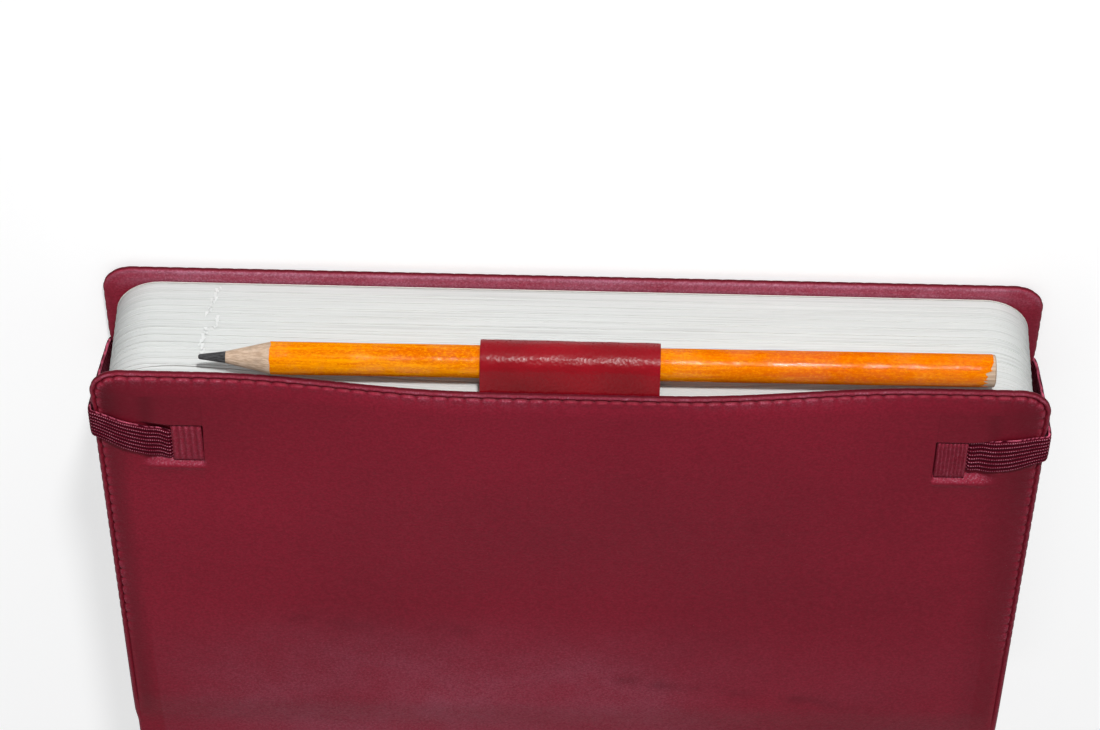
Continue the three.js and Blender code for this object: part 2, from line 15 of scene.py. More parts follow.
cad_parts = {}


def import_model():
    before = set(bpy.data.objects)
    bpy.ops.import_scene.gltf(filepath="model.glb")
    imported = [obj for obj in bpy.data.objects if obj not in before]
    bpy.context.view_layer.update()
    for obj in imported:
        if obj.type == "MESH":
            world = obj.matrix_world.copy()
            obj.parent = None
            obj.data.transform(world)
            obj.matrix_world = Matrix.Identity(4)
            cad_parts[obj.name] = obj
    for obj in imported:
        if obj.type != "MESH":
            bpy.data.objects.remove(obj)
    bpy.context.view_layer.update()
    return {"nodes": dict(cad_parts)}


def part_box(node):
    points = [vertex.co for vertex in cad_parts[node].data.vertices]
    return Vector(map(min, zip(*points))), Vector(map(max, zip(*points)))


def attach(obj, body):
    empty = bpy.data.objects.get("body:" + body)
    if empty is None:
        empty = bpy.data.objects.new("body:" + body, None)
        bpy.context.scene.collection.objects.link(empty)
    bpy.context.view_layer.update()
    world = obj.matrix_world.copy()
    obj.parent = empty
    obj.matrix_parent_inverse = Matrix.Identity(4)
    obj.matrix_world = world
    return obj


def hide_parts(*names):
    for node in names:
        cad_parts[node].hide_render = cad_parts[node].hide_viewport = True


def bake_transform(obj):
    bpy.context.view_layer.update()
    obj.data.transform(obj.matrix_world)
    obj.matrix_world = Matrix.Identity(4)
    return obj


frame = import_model()

MM = 0.001


def node_box(name):
    low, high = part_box(name)
    return np.array(low) / MM, np.array(high) / MM


# Sizes taken from the frame

CASE_WIDTH = 148.4
SHIFT = CASE_WIDTH - node_box("spine_skin")[1][1]
BACK_INNER = node_box("back_pastedown")[0][2]
COVER_THICK = node_box("front_cover_skin")[1][2]
TOP = BACK_INNER + COVER_THICK
BLOCK_BASE = node_box("section_01")[0][2]
LEAVES_BASE = node_box("leaf_before_last")[0][2]
SECTIONS = [n for n in sorted(frame["nodes"]) if n.startswith("section_")]
SECTION_PITCH = node_box("section_02")[0][2] - BLOCK_BASE

# Sizes of the case

HALF = 105.0
CORNER = 7.0
PANEL = 136.0
THIN_FROM = PANEL - 15
HINGE = 144.5
SKIN_END = HINGE + 0.25
LIP = 0.7
LIP_BASE = 0.4
LIP_TOP = LIP_BASE + 2 * LIP
JOINT_PULL = 0.45
FILM = (0.3, 1.1)
TURN_IN = 6.0
LINING = 0.45

SEAM_INSET = 1.22
SEAM_WIDTH = 0.2
SEAM_DEPTH = 0.34
STITCH_INSET = 1.6
STITCH_PITCH = 3.5
STITCH_END = 98.0

BOW_HEIGHT = 3.8
BOW_CREST = 20.5
BOW_HALF = 80.0
BOW_FLAT = 16.0
BOW_REACH = 85.0

SOCKET_X = (81.0, 96.0)
SOCKET_Y = (17.0, 29.5)
SOCKET_DEPTH = 1.5
BAND_WIDTH = 8.8
BAND_THICK = 0.9
BAND_RUN = 29.5
BAND_EXIT = {-1: 21.8, 1: 24.3}
BAND_EDGE = {-1: 18.5, 1: 17.0}

PAGE_HALF = 102.3
PAGE_FORE = 3.0
PAGE_CORNER = 11.0
PAGE_SPINE = 145.2

PENCIL_RADIUS = 3.6
PENCIL_LENGTH = 172.7
PENCIL_START = 92.0
PENCIL_OUT = 3.1
PENCIL_LEAN = math.radians(0.35)
AXIS_HEIGHT = TOP - 4.0
LOOP_HALF = 19.5
LOOP_INNER = 3.95
LOOP_THICK = 0.85
TAB = 10.0


def to_row(points):
    return (np.asarray(points, float) - [0, SHIFT, 0]) * MM


def ramp(value, low, high):
    share = np.clip((np.asarray(value, float) - low) / (high - low), 0, 1)
    return share * share * (3 - 2 * share)


def window(value, rise, full, fall, end):
    """Rises from 0 at rise to 1 at full, and goes back from 1 at fall to 0 at end."""
    return ramp(value, rise, full) * (1 - ramp(value, fall, end))


def peak(value, middle, width):
    return np.exp(-(((value - middle) / width) ** 2))


def bow(x, y):
    past = np.clip((np.abs(x) - BOW_CREST) / (BOW_HALF - BOW_CREST), 0, 1)
    return BOW_HEIGHT * np.cos(past * math.pi / 2) ** 2 * (1 - ramp(y, BOW_FLAT, BOW_REACH))


def swell(x, y, z):
    """The part of the back cover's bow that reaches height z in the block."""
    block_top = LEAVES_BASE - 0.2
    middle = (BLOCK_BASE + block_top) / 2
    return np.clip((z - middle) / (block_top - middle), 0, 1) * bow(x, y)


def wobble(x, y, z, size, seed=0.0):
    return noise.noise(Vector((x / size + seed, y / size, z / size)))


def ripple(x, y, size, seed=0.0):
    """A smooth irregular value between about -1 and 1 for whole arrays of points."""
    chance = random.Random(seed)
    total = 0
    for _ in range(7):
        turn, phase = chance.uniform(0, math.tau), chance.uniform(0, math.tau)
        reach = size * chance.uniform(0.7, 1.6)
        total = total + np.sin((x * math.cos(turn) + y * math.sin(turn)) * math.tau / reach + phase)
    return total / 4


# Pieces


def piece(name, points, faces, material, uv=None, sharp=38, marks=None):
    """marks: values for the material to read, one for each point, by name."""
    mesh = bpy.data.meshes.new(name)
    mesh.from_pydata(to_row(points).tolist(), [], faces)
    for mark, values in (marks or {}).items():
        layer = mesh.attributes.new(mark, "FLOAT", "POINT")
        layer.data.foreach_set("value", np.asarray(values, np.float32))
    if uv is not None:
        layer = mesh.uv_layers.new(name="UVMap")
        uv = np.asarray(uv, float)
        index = np.empty(len(mesh.loops), int)
        mesh.loops.foreach_get("vertex_index", index)
        layer.data.foreach_set("uv", uv[index].ravel())
    form = bmesh.new()
    form.from_mesh(mesh)
    bmesh.ops.remove_doubles(form, verts=form.verts, dist=1e-7)
    bmesh.ops.recalc_face_normals(form, faces=form.faces)
    form.to_mesh(mesh)
    form.free()
    mesh.shade_smooth()
    mesh.set_sharp_from_angle(angle=math.radians(sharp))
    obj = bpy.data.objects.new(name, mesh)
    bpy.context.collection.objects.link(obj)
    mesh.materials.append(material)
    return obj


def grid_faces(rows, columns, start=0, close=False):
    faces = []
    wide = columns if close else columns - 1
    for r in range(rows - 1):
        for c in range(wide):
            a = start + r * columns + c
            b = start + r * columns + (c + 1) % columns
            faces.append((a, b, b + columns, a + columns))
    return faces


def grid_rim(columns, rows):
    """Column and row of each point round a grid, from its first corner."""
    rim = [(i, 0) for i in range(columns)] + [(columns - 1, j) for j in range(1, rows)]
    rim += [(i, rows - 1) for i in range(columns - 2, -1, -1)] + [(0, j) for j in range(rows - 2, 0, -1)]
    return rim


def sweep(sections, capped=True):
    """A closed section carried along a path. Its ends are capped, or else joined to each other."""
    count = len(sections[0])
    last = (len(sections) - 1) * count
    faces = grid_faces(len(sections), count, close=True)
    if capped:
        faces += [tuple(range(count)), tuple(range(last, last + count))]
    else:
        faces += [(last + k, last + (k + 1) % count, (k + 1) % count, k) for k in range(count)]
    return np.concatenate(sections), faces


# Materials


class Look:
    """A material and short calls for its nodes."""

    def __init__(self, name, color, roughness, specular=0.5):
        self.material = bpy.data.materials.new(name)
        self.material.use_nodes = True
        self.tree = self.material.node_tree
        self.shader = self.tree.nodes["Principled BSDF"]
        self.shader.inputs["Base Color"].default_value = (*color, 1)
        self.shader.inputs["Roughness"].default_value = roughness
        self.shader.inputs["Specular IOR Level"].default_value = specular
        self.own = self.place()

    def node(self, kind, **values):
        made = self.tree.nodes.new(kind)
        for key, value in values.items():
            setattr(made, key, value)
        return made

    def link(self, out, into):
        self.tree.links.new(out, into)

    def place(self, source="Object", scale=(1, 1, 1)):
        coordinates = self.node("ShaderNodeTexCoord")
        mapping = self.node("ShaderNodeMapping")
        mapping.inputs["Scale"].default_value = scale
        self.link(coordinates.outputs[source], mapping.inputs["Vector"])
        return mapping.outputs["Vector"]

    def axis(self, place, name):
        parts = self.node("ShaderNodeSeparateXYZ")
        self.link(place, parts.inputs["Vector"])
        return parts.outputs[name]

    def mark(self, name):
        return self.node("ShaderNodeAttribute", attribute_name=name).outputs["Fac"]

    def cloud(self, scale, detail=2.0, rough=0.5, place=None):
        made = self.node("ShaderNodeTexNoise")
        made.inputs["Scale"].default_value = scale
        made.inputs["Detail"].default_value = detail
        made.inputs["Roughness"].default_value = rough
        self.link(place or self.own, made.inputs["Vector"])
        return made.outputs["Fac"]

    def cells(self, scale, place=None):
        made = self.node("ShaderNodeTexVoronoi")
        made.inputs["Scale"].default_value = scale
        self.link(place or self.own, made.inputs["Vector"])
        return made.outputs["Distance"]

    def band(self, value, low, high, to_low=0.0, to_high=1.0):
        made = self.node("ShaderNodeMapRange")
        made.inputs["From Min"].default_value = low
        made.inputs["From Max"].default_value = high
        made.inputs["To Min"].default_value = to_low
        made.inputs["To Max"].default_value = to_high
        self.link(value, made.inputs["Value"])
        return made.outputs["Result"]

    def math(self, operation, first, second):
        made = self.node("ShaderNodeMath", operation=operation)
        for socket, value in zip(made.inputs, (first, second)):
            if isinstance(value, (int, float)):
                socket.default_value = value
            else:
                self.link(value, socket)
        return made.outputs["Value"]

    def mix(self, share, first, second):
        made = self.node("ShaderNodeMix", data_type="RGBA")
        self.link(share, made.inputs["Factor"])
        for name, value in (("A", first), ("B", second)):
            socket = next(s for s in made.inputs if s.name == name and s.type == "RGBA")
            if isinstance(value, tuple):
                socket.default_value = (*value, 1)
            else:
                self.link(value, socket)
        return next(s for s in made.outputs if s.type == "RGBA")

    def tint(self, base, color, *shares):
        """Lays a colour over base by the product of the shares."""
        share = shares[0]
        for other in shares[1:]:
            share = self.math("MULTIPLY", share, other)
        return self.mix(share, base, color)

    def color(self, out):
        self.link(out, self.shader.inputs["Base Color"])

    def roughness(self, out):
        self.link(out, self.shader.inputs["Roughness"])

    def bump(self, height, strength, depth, below=None):
        made = self.node("ShaderNodeBump")
        made.inputs["Strength"].default_value = strength
        made.inputs["Distance"].default_value = depth * MM
        self.link(height, made.inputs["Height"])
        if below is not None:
            self.link(below, made.inputs["Normal"])
        return made.outputs["Normal"]

    def normal(self, out):
        self.link(out, self.shader.inputs["Normal"])


def leatherette():
    """Reads three marks of the mesh: where a highlight is painted, where shade is painted, and where a pale
    sheen is painted.
    """
    look = Look("maroon_leatherette", (0.24, 0.011, 0.027), 0.46, 0.08)
    light, dark, painted_sheen = look.mark("light"), look.mark("dark"), look.mark("painted_sheen")
    broad = look.band(look.cloud(13, 3), 0.34, 0.66)
    base = look.mix(broad, (0.25, 0.0122, 0.0295), (0.335, 0.0162, 0.039))
    base = look.tint(base, (0.33, 0.0185, 0.043), look.band(look.cloud(420, 3, 0.7), 0.4, 0.62), 0.3)
    # A pinkish painted highlight where the light mark is, broken into patches.
    highlight_patchiness = look.band(look.cloud(200, 3), 0.36, 0.62, 0.3, 1)
    base = look.tint(base, (0.37, 0.044, 0.082), light, highlight_patchiness)
    # A pale mauve painted sheen where its mark is, in patches.
    sheen_patchiness = look.band(look.cloud(120, 3), 0.36, 0.64, 0.6, 1)
    base = look.tint(base, (0.52, 0.19, 0.28), painted_sheen, sheen_patchiness)
    # Painted shade, near black, where the dark mark is.
    base = look.tint(base, (0.05, 0.002, 0.006), dark, 0.88)
    pores = look.band(look.cloud(1500, 3, 0.7), 0.36, 0.62, 0, 0.42)
    base = look.tint(base, (0.13, 0.005, 0.013), pores)
    # Pale specks of painted highlight over the highlight and sheen marks.
    painted_highlight_share = look.math("ADD", look.math("MULTIPLY", light, 0.5), painted_sheen)
    specks = look.band(look.cloud(2100, 2, 0.6), 0.5, 0.66, 0, 0.4)
    base = look.tint(base, (0.66, 0.36, 0.45), painted_highlight_share, specks)
    dust = look.band(look.cells(520), 0.05, 0.02)
    look.color(look.tint(base, (0.5, 0.27, 0.29), dust, look.band(look.cloud(90), 0.56, 0.64), 0.6))
    look.roughness(look.band(look.cloud(700, 3), 0.3, 0.7, 0.47, 0.57))
    grain = look.bump(look.cells(2300), 0.45, 0.07)
    grain = look.bump(look.cloud(1500, 3, 0.6), 0.5, 0.12, grain)
    look.normal(look.bump(look.cloud(70, 3), 0.25, 0.1, grain))
    return look.material


def crimson():
    look = Look("crimson_leatherette", (0.26, 0.004, 0.01), 0.3, 0.13)
    broad = look.band(look.cloud(60, 3), 0.35, 0.68)
    look.color(look.mix(broad, (0.19, 0.0018, 0.0058), (0.27, 0.003, 0.0095)))
    look.roughness(look.band(look.cloud(900, 3), 0.3, 0.7, 0.25, 0.34))
    fine = look.bump(look.cloud(2600, 3, 0.6), 0.25, 0.07)
    look.normal(look.bump(look.cells(1350), 0.5, 0.09, fine))
    return look.material


def webbing():
    """The band: u runs along it and v across it, both in millimetres."""
    look = Look("ribbed_elastic", (0.08, 0.0014, 0.009), 0.66, 0.05)
    stitches = look.node("ShaderNodeTexWave", bands_direction="X", wave_profile="SIN")
    stitches.inputs["Scale"].default_value = 0.62
    stitches.inputs["Distortion"].default_value = 0.5
    stitches.inputs["Detail Scale"].default_value = 2.0
    look.link(look.place("UV"), stitches.inputs["Vector"])
    dash = look.band(stitches.outputs["Fac"], 0.3, 0.7)
    crest = look.mark("crest")
    painted_highlight_share = look.band(look.cloud(0.5, 3, place=look.place("UV", (0.5, 1, 1))), 0.36, 0.6, 0.3, 1)
    # Painted shade between the ridges, lighter on their crests.
    base = look.mix(crest, (0.04, 0.0006, 0.005), (0.17, 0.002, 0.018))
    # Pale pink painted highlight dashes on the ridge crests, in patches.
    base = look.tint(base, (0.95, 0.34, 0.46), look.band(crest, 0.66, 0.96), dash, painted_highlight_share)
    # A painted highlight along the edge cords, in patches.
    look.color(look.tint(base, (0.8, 0.15, 0.25), look.mark("cord"), painted_highlight_share))
    weave = look.bump(stitches.outputs["Fac"], 0.6, 0.16)
    look.normal(look.bump(look.cloud(6, 3, place=look.place("UV")), 0.4, 0.1, weave))
    return look.material


def page_edges():
    """Cut edges: u runs along the edge and v up through the leaves. A flat face is a plain leaf."""
    look = Look("page_edges", (0.63, 0.64, 0.62), 0.9, 0.06)
    fine = look.cloud(1, 3, 0.6, look.place("UV", (0.012, 7, 1)))
    base = look.mix(look.band(fine, 0.32, 0.6), (0.545, 0.56, 0.55), (0.634, 0.648, 0.636))
    # Thin grey lines of painted shade between the leaves, broken in places.
    lines = look.cloud(1, 1, place=look.place("UV", (0.005, 1.9, 1)))
    line = look.band(look.math("ABSOLUTE", look.math("SUBTRACT", lines, 0.5), 0), 0.05, 0.02, 0, 0.45)
    broken = look.band(look.cloud(1, 2, place=look.place("UV", (0.03, 1.2, 1))), 0.38, 0.56)
    base = look.tint(base, (0.4, 0.41, 0.4), line, broken)
    facing = look.axis(look.place("Normal"), "Z")
    edge = look.band(look.math("ABSOLUTE", facing, 0), 0.6, 0.9, 1, 0)
    leaf_tone = look.band(look.cloud(900, 4, 0.7), 0.3, 0.7)
    base = look.mix(edge, look.mix(leaf_tone, (0.63, 0.637, 0.623), (0.68, 0.685, 0.67)), base)
    specks = look.band(look.cells(300), 0.07, 0.04)
    look.color(look.tint(base, (0.16, 0.15, 0.15), specks, look.band(look.cloud(60), 0.6, 0.64), 0.7))
    look.normal(look.bump(look.math("MULTIPLY", fine, edge), 0.35, 0.06))
    return look.material


def sheet_paper(name, color):
    look = Look(name, color, 0.88, 0.2)
    darker = tuple(channel * 0.93 for channel in color)
    look.color(look.mix(look.band(look.cloud(900, 4, 0.7), 0.3, 0.7), darker, color))
    look.normal(look.bump(look.cloud(1500, 3, 0.7), 0.2, 0.05))
    return look.material


def bare_board():
    look = Look("greyboard", (0.36, 0.3, 0.2), 0.9, 0.2)
    fibres = look.band(look.cloud(600, 4, 0.7), 0.3, 0.7)
    look.color(look.mix(fibres, (0.28, 0.23, 0.15), (0.42, 0.36, 0.26)))
    look.normal(look.bump(look.cloud(1200, 3), 0.4, 0.1))
    return look.material


def binding_cloth():
    look = Look("binding_cloth", (0.78, 0.76, 0.7), 0.9, 0.2)
    weave = look.node("ShaderNodeTexChecker")
    weave.inputs["Scale"].default_value = 2400
    look.link(look.own, weave.inputs["Vector"])
    look.color(look.mix(weave.outputs["Fac"], (0.66, 0.64, 0.58), (0.82, 0.8, 0.75)))
    look.normal(look.bump(weave.outputs["Fac"], 0.4, 0.08))
    return look.material


def varnish():
    """Orange varnish over streaked wood, redder towards the blunt end. The pencil lies along x."""
    look = Look("orange_varnish", (0.8, 0.23, 0.0), 0.4, 0.0)

    def drawn_out(stretch):
        return look.place(scale=(stretch, 1, 1))

    along = look.axis(look.own, "X")
    streaks = look.cloud(1500, 4, 0.65, drawn_out(0.05))
    base = look.mix(look.band(streaks, 0.36, 0.64), (0.7, 0.15, 0.0), (0.86, 0.28, 0.0))
    patches = look.cloud(380, 2, place=drawn_out(0.06))
    base = look.tint(base, (0.6, 0.085, 0.0), look.band(patches, 0.5, 0.68, 0, 0.8))
    base = look.tint(base, (0.68, 0.09, 0.0), look.band(along, 0.005, -0.045, 0, 0.5))
    golden = look.band(look.cloud(2500, 3, 0.75, drawn_out(0.45)), 0.46, 0.68, 0, 0.55)
    base = look.tint(base, (1.0, 0.44, 0.001), golden, look.band(along, 0.005, -0.045, 1, 0.6))
    flecks = look.band(look.cells(1700, drawn_out(0.3)), 0.14, 0.05, 0, 0.6)
    look.color(look.tint(base, (0.28, 0.045, 0.0), flecks))
    shiny = look.band(look.cloud(110, 4, 0.7, drawn_out(0.7)), 0.47, 0.6, 0.03, 0.34)
    look.link(shiny, look.shader.inputs["Coat Weight"])
    look.shader.inputs["Coat Roughness"].default_value = 0.08
    look.normal(look.bump(streaks, 0.4, 0.1))
    coat = look.bump(look.cloud(1900, 3, 0.7, drawn_out(0.8)), 0.7, 0.1)
    look.link(coat, look.shader.inputs["Coat Normal"])
    return look.material


def cedar():
    look = Look("sharpened_wood", (0.5, 0.36, 0.25), 0.66, 0.08)
    grain = look.cloud(2600, 4, 0.6, look.place(scale=(0.02, 1, 1)))
    base = look.mix(look.band(grain, 0.36, 0.64), (0.42, 0.29, 0.2), (0.62, 0.465, 0.35))
    look.color(look.tint(base, (0.3, 0.24, 0.19), look.band(look.cloud(500, 3), 0.5, 0.75, 0, 0.3)))
    look.normal(look.bump(grain, 0.4, 0.08))
    return look.material


def graphite():
    look = Look("graphite", (0.03, 0.03, 0.032), 0.36, 0.2)
    look.shader.inputs["Metallic"].default_value = 0.1
    grain = look.cloud(2600, 3, place=look.place(scale=(0.3, 1, 1)))
    look.color(look.mix(look.band(grain, 0.35, 0.65), (0.018, 0.018, 0.019), (0.06, 0.06, 0.063)))
    look.roughness(look.band(grain, 0.3, 0.7, 0.26, 0.42))
    look.normal(look.bump(grain, 0.4, 0.08))
    return look.material


LEATHER = leatherette()
CRIMSON = crimson()
WEBBING = webbing()
PAGES = page_edges()
PAPER = sheet_paper("leaf_paper", (0.68, 0.685, 0.67))
FIBRE = sheet_paper("paper_fibre", (0.72, 0.735, 0.725))
ENDPAPER = sheet_paper("endpaper", (0.8, 0.785, 0.74))
BOARD = bare_board()
CLOTH = binding_cloth()
VARNISH = varnish()
CEDAR = cedar()
GRAPHITE = graphite()


# Covers


def lip_steps():
    """Insets over the rolled lip, from its outermost line to its top."""
    return [LIP * (1 - math.cos(math.radians(a))) for a in (0, 14, 30, 48, 68, 84)]


SEAM_INSETS = [0.78, 0.92, 1.02, 1.12, 1.22, 1.32, 1.42, 1.52, 1.64, 1.8, 2.0, 2.3, 2.8, 3.5, 4.5, 5.6]
TOP_INSETS = lip_steps() + SEAM_INSETS + [CORNER - 0.4]
UNDER_INSETS = lip_steps()[1:] + [1.0, 1.5, 2.1, 2.7, TURN_IN, TURN_IN + 0.05]


def half_round(inset):
    return LIP * np.sqrt(np.clip(1 - (1 - np.clip(inset / LIP, 0, 1)) ** 2, 0, 1))


def puffs(x, y, along):
    """The padding between stitches, from 0 at a hole to 1 half-way, and how deep the seam is there."""
    phase = (along + 0.35 * ripple(x, y, 21, 3)) / STITCH_PITCH % 1 - 0.5
    cap = 1 - np.abs(phase * 2) ** 3.2
    deep = 1 - ramp(y, STITCH_END - 8, STITCH_END + 4)
    return cap, deep


def padding(x, y, inset, along):
    """Height of the outer face over the inner one, with a painted highlight on the lip and on the puffs
    beside the seam, and painted shade in the seam, its stitch holes and on the lip.
    """
    cap, deep = puffs(x, y, along)
    uneven = 1 + 0.3 * ripple(x, y, 13, 5)
    arched = inset + 0.26 * (cap - 0.5) * deep
    seam = peak(arched, SEAM_INSET, SEAM_WIDTH)
    front = ramp(arched, STITCH_INSET - 0.25, STITCH_INSET)
    puff = front * peak(np.clip(inset - STITCH_INSET, 0, None), 0, 0.85) * deep * uneven
    share = np.clip((inset - SEAM_INSET) / (CORNER - SEAM_INSET), 0, 1)
    rise = (COVER_THICK - LIP_TOP) * (1 - (1 - share) ** 2.2)
    height = LIP_BASE + LIP + half_round(inset) + rise - seam * (SEAM_DEPTH + 0.14 * (1 - cap) * deep)
    height += 0.3 * puff * cap + 0.03 * ripple(x, y, 34, 7) * ramp(inset, 2, 6)
    patchy = np.clip(0.65 + 0.45 * ripple(x, y, 45, 11), 0.15, 1)
    fading = np.exp(-np.clip(arched - STITCH_INSET, 0, None) / 1.1)
    # Painted highlight on the upper edge of each puff beside the seam.
    light = front * deep * np.clip(cap, 0, 1) * fading * patchy
    # A thin painted highlight along the top of the lip.
    light = light + 0.25 * window(inset, 0.15, 0.3, 0.45, 0.65)
    # Painted shade in the stitch holes, in the seam groove and on the lip; less of it in the seam along the
    # sides.
    pit = peak(inset, STITCH_INSET - 0.1, 0.25) * np.clip(1 - cap, 0, 1) * deep
    seam = seam * (1 - 0.45 * ramp(y, 4, 12))
    dark = seam * (0.6 + 0.4 * np.clip(cap, 0, 1)) + 0.75 * pit + 0.25 * (1 - ramp(inset, 0.9, 1.05))
    return height, light, dark


# Both ends and the depth of each dent

CREASES = [
    ((-13, 111.5), (-26, 113.2), 0.11),
    ((-28, 114.2), (-47, 115.8), 0.05),
    ((-52, 117.6), (-70, 120.4), 0.08),
    ((66, 89.0), (46, 91.2), 0.05),
    ((32, 90.5), (22, 93.0), 0.06),
]


def creases(x, y):
    """Shallow dents where the cover has bent towards the spine."""
    total = np.zeros_like(x + y)
    for (x0, y0), (x1, y1), depth in CREASES:
        run = np.array([x1 - x0, y1 - y0])
        length = np.linalg.norm(run)
        share = ((x - x0) * run[0] + (y - y0) * run[1]) / length**2
        off = ((x - x0) * run[1] - (y - y0) * run[0]) / length + 0.8 * np.sin(share * 5)
        ends = peak(np.clip(np.abs(share - 0.5) - 0.35, 0, None), 0, 0.16)
        uneven = np.clip(0.55 + 0.6 * ripple(x, y, 9, 23), 0, 1.3)
        total = total + depth * ends * uneven * peak(off, 0, 1.9)
    return total


def socket_reach(x, y):
    """How far a point lies inside the recess that holds an end of the band, from 0 to 1."""
    across = np.abs(x) - 0.03 * np.where(x > 0, 1, 0) * (y - SOCKET_Y[0])
    along = window(across, SOCKET_X[0] - 0.25, SOCKET_X[0] + 0.1, 89.6, SOCKET_X[1])
    fore_wall = SOCKET_Y[0] - 1.3 * ramp(across, 88, SOCKET_X[1])
    fore = ramp(y, fore_wall - 0.3, fore_wall + 0.15)
    rear = 1 - ramp(y, SOCKET_Y[1] - 0.7, SOCKET_Y[1] + 1.5)
    return along * fore * rear, along * rear


def socket_shape(x, y):
    """Depth of the recess, with a painted highlight on the ledge behind it and painted shade along the
    recess wall.
    """
    reach, behind = socket_reach(x, y)
    long = window(np.abs(x), 80.4, 81.6, 90.5, SOCKET_X[1])
    rear = y - SOCKET_Y[1]
    # Painted highlight on the ledge rising out of the back of the recess.
    ledge = window(rear, -0.7, -0.4, 1.1, 1.6) * long
    # Painted shade along the recess wall.
    recess_edge_shade = peak(reach, 0.5 * behind, 0.3) * behind * (1 - ledge)
    return SOCKET_DEPTH * reach - 0.24 * peak(rear, 1.9, 0.8) * long, ledge, recess_edge_shade


def painted_edge_shade(x, y):
    """Painted shade: the skin is darker along its head and tail edges, and most at the corner by the
    pencil's point.
    """
    gap = HALF - np.abs(x)
    strip = 0.45 * (1 - ramp(gap, 3, np.where(x > 0, 8, 15)))
    corner = np.where(x > 0, 0.72 * np.exp(-gap / 32), 0.5 * np.exp(-gap / 20)) * (1 - ramp(y, 12, 44))
    return (1 - (1 - strip) * (1 - corner)) * (1 + 0.2 * ripple(x, y, 30, 17))


def outer_face(x, y, inset, along, band):
    """Height, light and dark of a cover's outer face."""
    height, light, dark = padding(x, y, inset, along)
    # Painted shade on the outermost line of the lip.
    dark = dark + 0.85 * (1 - ramp(inset, 0.3, 0.4) if band else 1 - ramp(inset, 0.03, 0.16))
    # Painted shade along the head and tail edges, inside the seam.
    dark = dark + ramp(inset, 1.2, 3) * painted_edge_shade(x, y)
    joint = ramp(y, THIN_FROM, PANEL + 0.5)
    edge = FILM[0] + 0.4 + 0.4 * np.sqrt(np.clip(inset / LIP, 0, 1))
    height = height * (1 - joint) + edge * joint
    if band:
        channel = COVER_THICK - 1.2 + 1.3 * ramp(np.abs(y - BAND_RUN), 4.6, 6.2)
        # Painted shade in the channel under the band.
        dark = dark + 0.4 * (channel < height)
        height = np.minimum(height, channel)
    else:
        dent = creases(x, y)
        height = height - dent
        # Painted shade in the dents, in step with their depth.
        dark = dark + dent * 6
    return height, light * (1 - joint), dark * (1 - joint)


def inner_face(y, inset):
    joint = ramp(y, PANEL - 1, PANEL + 0.5)
    flat = np.where(inset > TURN_IN, LINING, LIP_BASE * (1 - ramp(inset, LIP, 2.7)))
    low = np.where(inset < LIP, LIP_BASE + LIP - half_round(inset), flat)
    film = FILM[0] + np.where(inset < LIP, 0.4 * (1 - np.sqrt(np.clip(inset / LIP, 0, 1))), 0)
    return low * (1 - joint) + film * joint


def squeeze(x, y, band):
    """The band presses the lip in where it passes round the edge."""
    if band:
        return 0.7 * np.exp(-(((y - BAND_RUN) / 5.2) ** 4))
    middle = np.where(x > 0, BAND_EDGE[1], BAND_EDGE[-1])
    return 0.45 * np.exp(-(((y - middle) / 5) ** 4))


def fill_steps(marks, step):
    """Marks with steps of about this size set between them."""
    out = [marks[0]]
    for low, high in zip(marks, marks[1:]):
        count = max(1, round((high - low) / step))
        out += [low + (high - low) * (k + 1) / count for k in range(count)]
    return out


def cover_lines(sockets):
    """Lines of the grid inside the seam, close together at the sockets."""
    if not sockets:
        xs = fill_steps([-HALF + CORNER, HALF - CORNER], 3)
        channel = [BAND_RUN - 6.4, BAND_RUN - 4.4, BAND_RUN + 4.4, BAND_RUN + 6.4]
        ys = fill_steps([CORNER, *channel, THIN_FROM, PANEL + 1, SKIN_END], 1.1)
        return xs, ys
    side = [76, 80.0, 80.5, 80.75, 80.92, 81.1, 81.4, 82] + list(np.linspace(83, 97.5, 24))
    xs = fill_steps([-HALF + CORNER] + [-x for x in reversed(side)] + side + [HALF - CORNER], 3)
    socket = [*np.linspace(15.2, 17.5, 14), 18.4, 20, 22, 24, 26, 27.6, *np.linspace(28.4, 32.6, 16)]
    ys = fill_steps([CORNER, 10, 12.5, 14.6] + socket, 3)[:-1]
    ys += fill_steps([33, 86], 4)[:-1] + fill_steps([86, PANEL - 8], 1.2)[:-1]
    ys += fill_steps([PANEL - 8, SKIN_END], 0.8)
    return xs, ys


def perimeter(xs, ys, step=0.33):
    """Columns round tail, fore-edge and head: base, direction and the grid corner each one meets."""
    columns = []

    def straight(points, direction):
        for (ax, ay, a), (bx, by, _) in zip(points, points[1:]):
            count = max(1, round(math.hypot(bx - ax, by - ay) / step))
            for k in range(count):
                place = (ax + (bx - ax) * k / count, ay + (by - ay) * k / count)
                columns.append((place, direction, a if k == 0 else None))
        columns.append((points[-1][:2], direction, points[-1][2]))

    def arc(x, y, first, corner):
        for k in range(1, 30):
            angle = math.radians(first - 3 * k)
            columns.append(((x, y), (math.cos(angle), math.sin(angle)), corner))

    last = len(xs) - 1
    straight([(xs[-1], y, (last, j)) for j, y in reversed(list(enumerate(ys)))], (1, 0))
    arc(xs[-1], ys[0], 0, (last, 0))
    straight([(x, ys[0], (i, 0)) for i, x in reversed(list(enumerate(xs)))], (0, -1))
    arc(xs[0], ys[0], -90, (0, 0))
    straight([(xs[0], y, (0, j)) for j, y in enumerate(ys)], (-1, 0))
    base, direction, corners = zip(*columns)
    return np.array(base), np.array(direction, float), corners


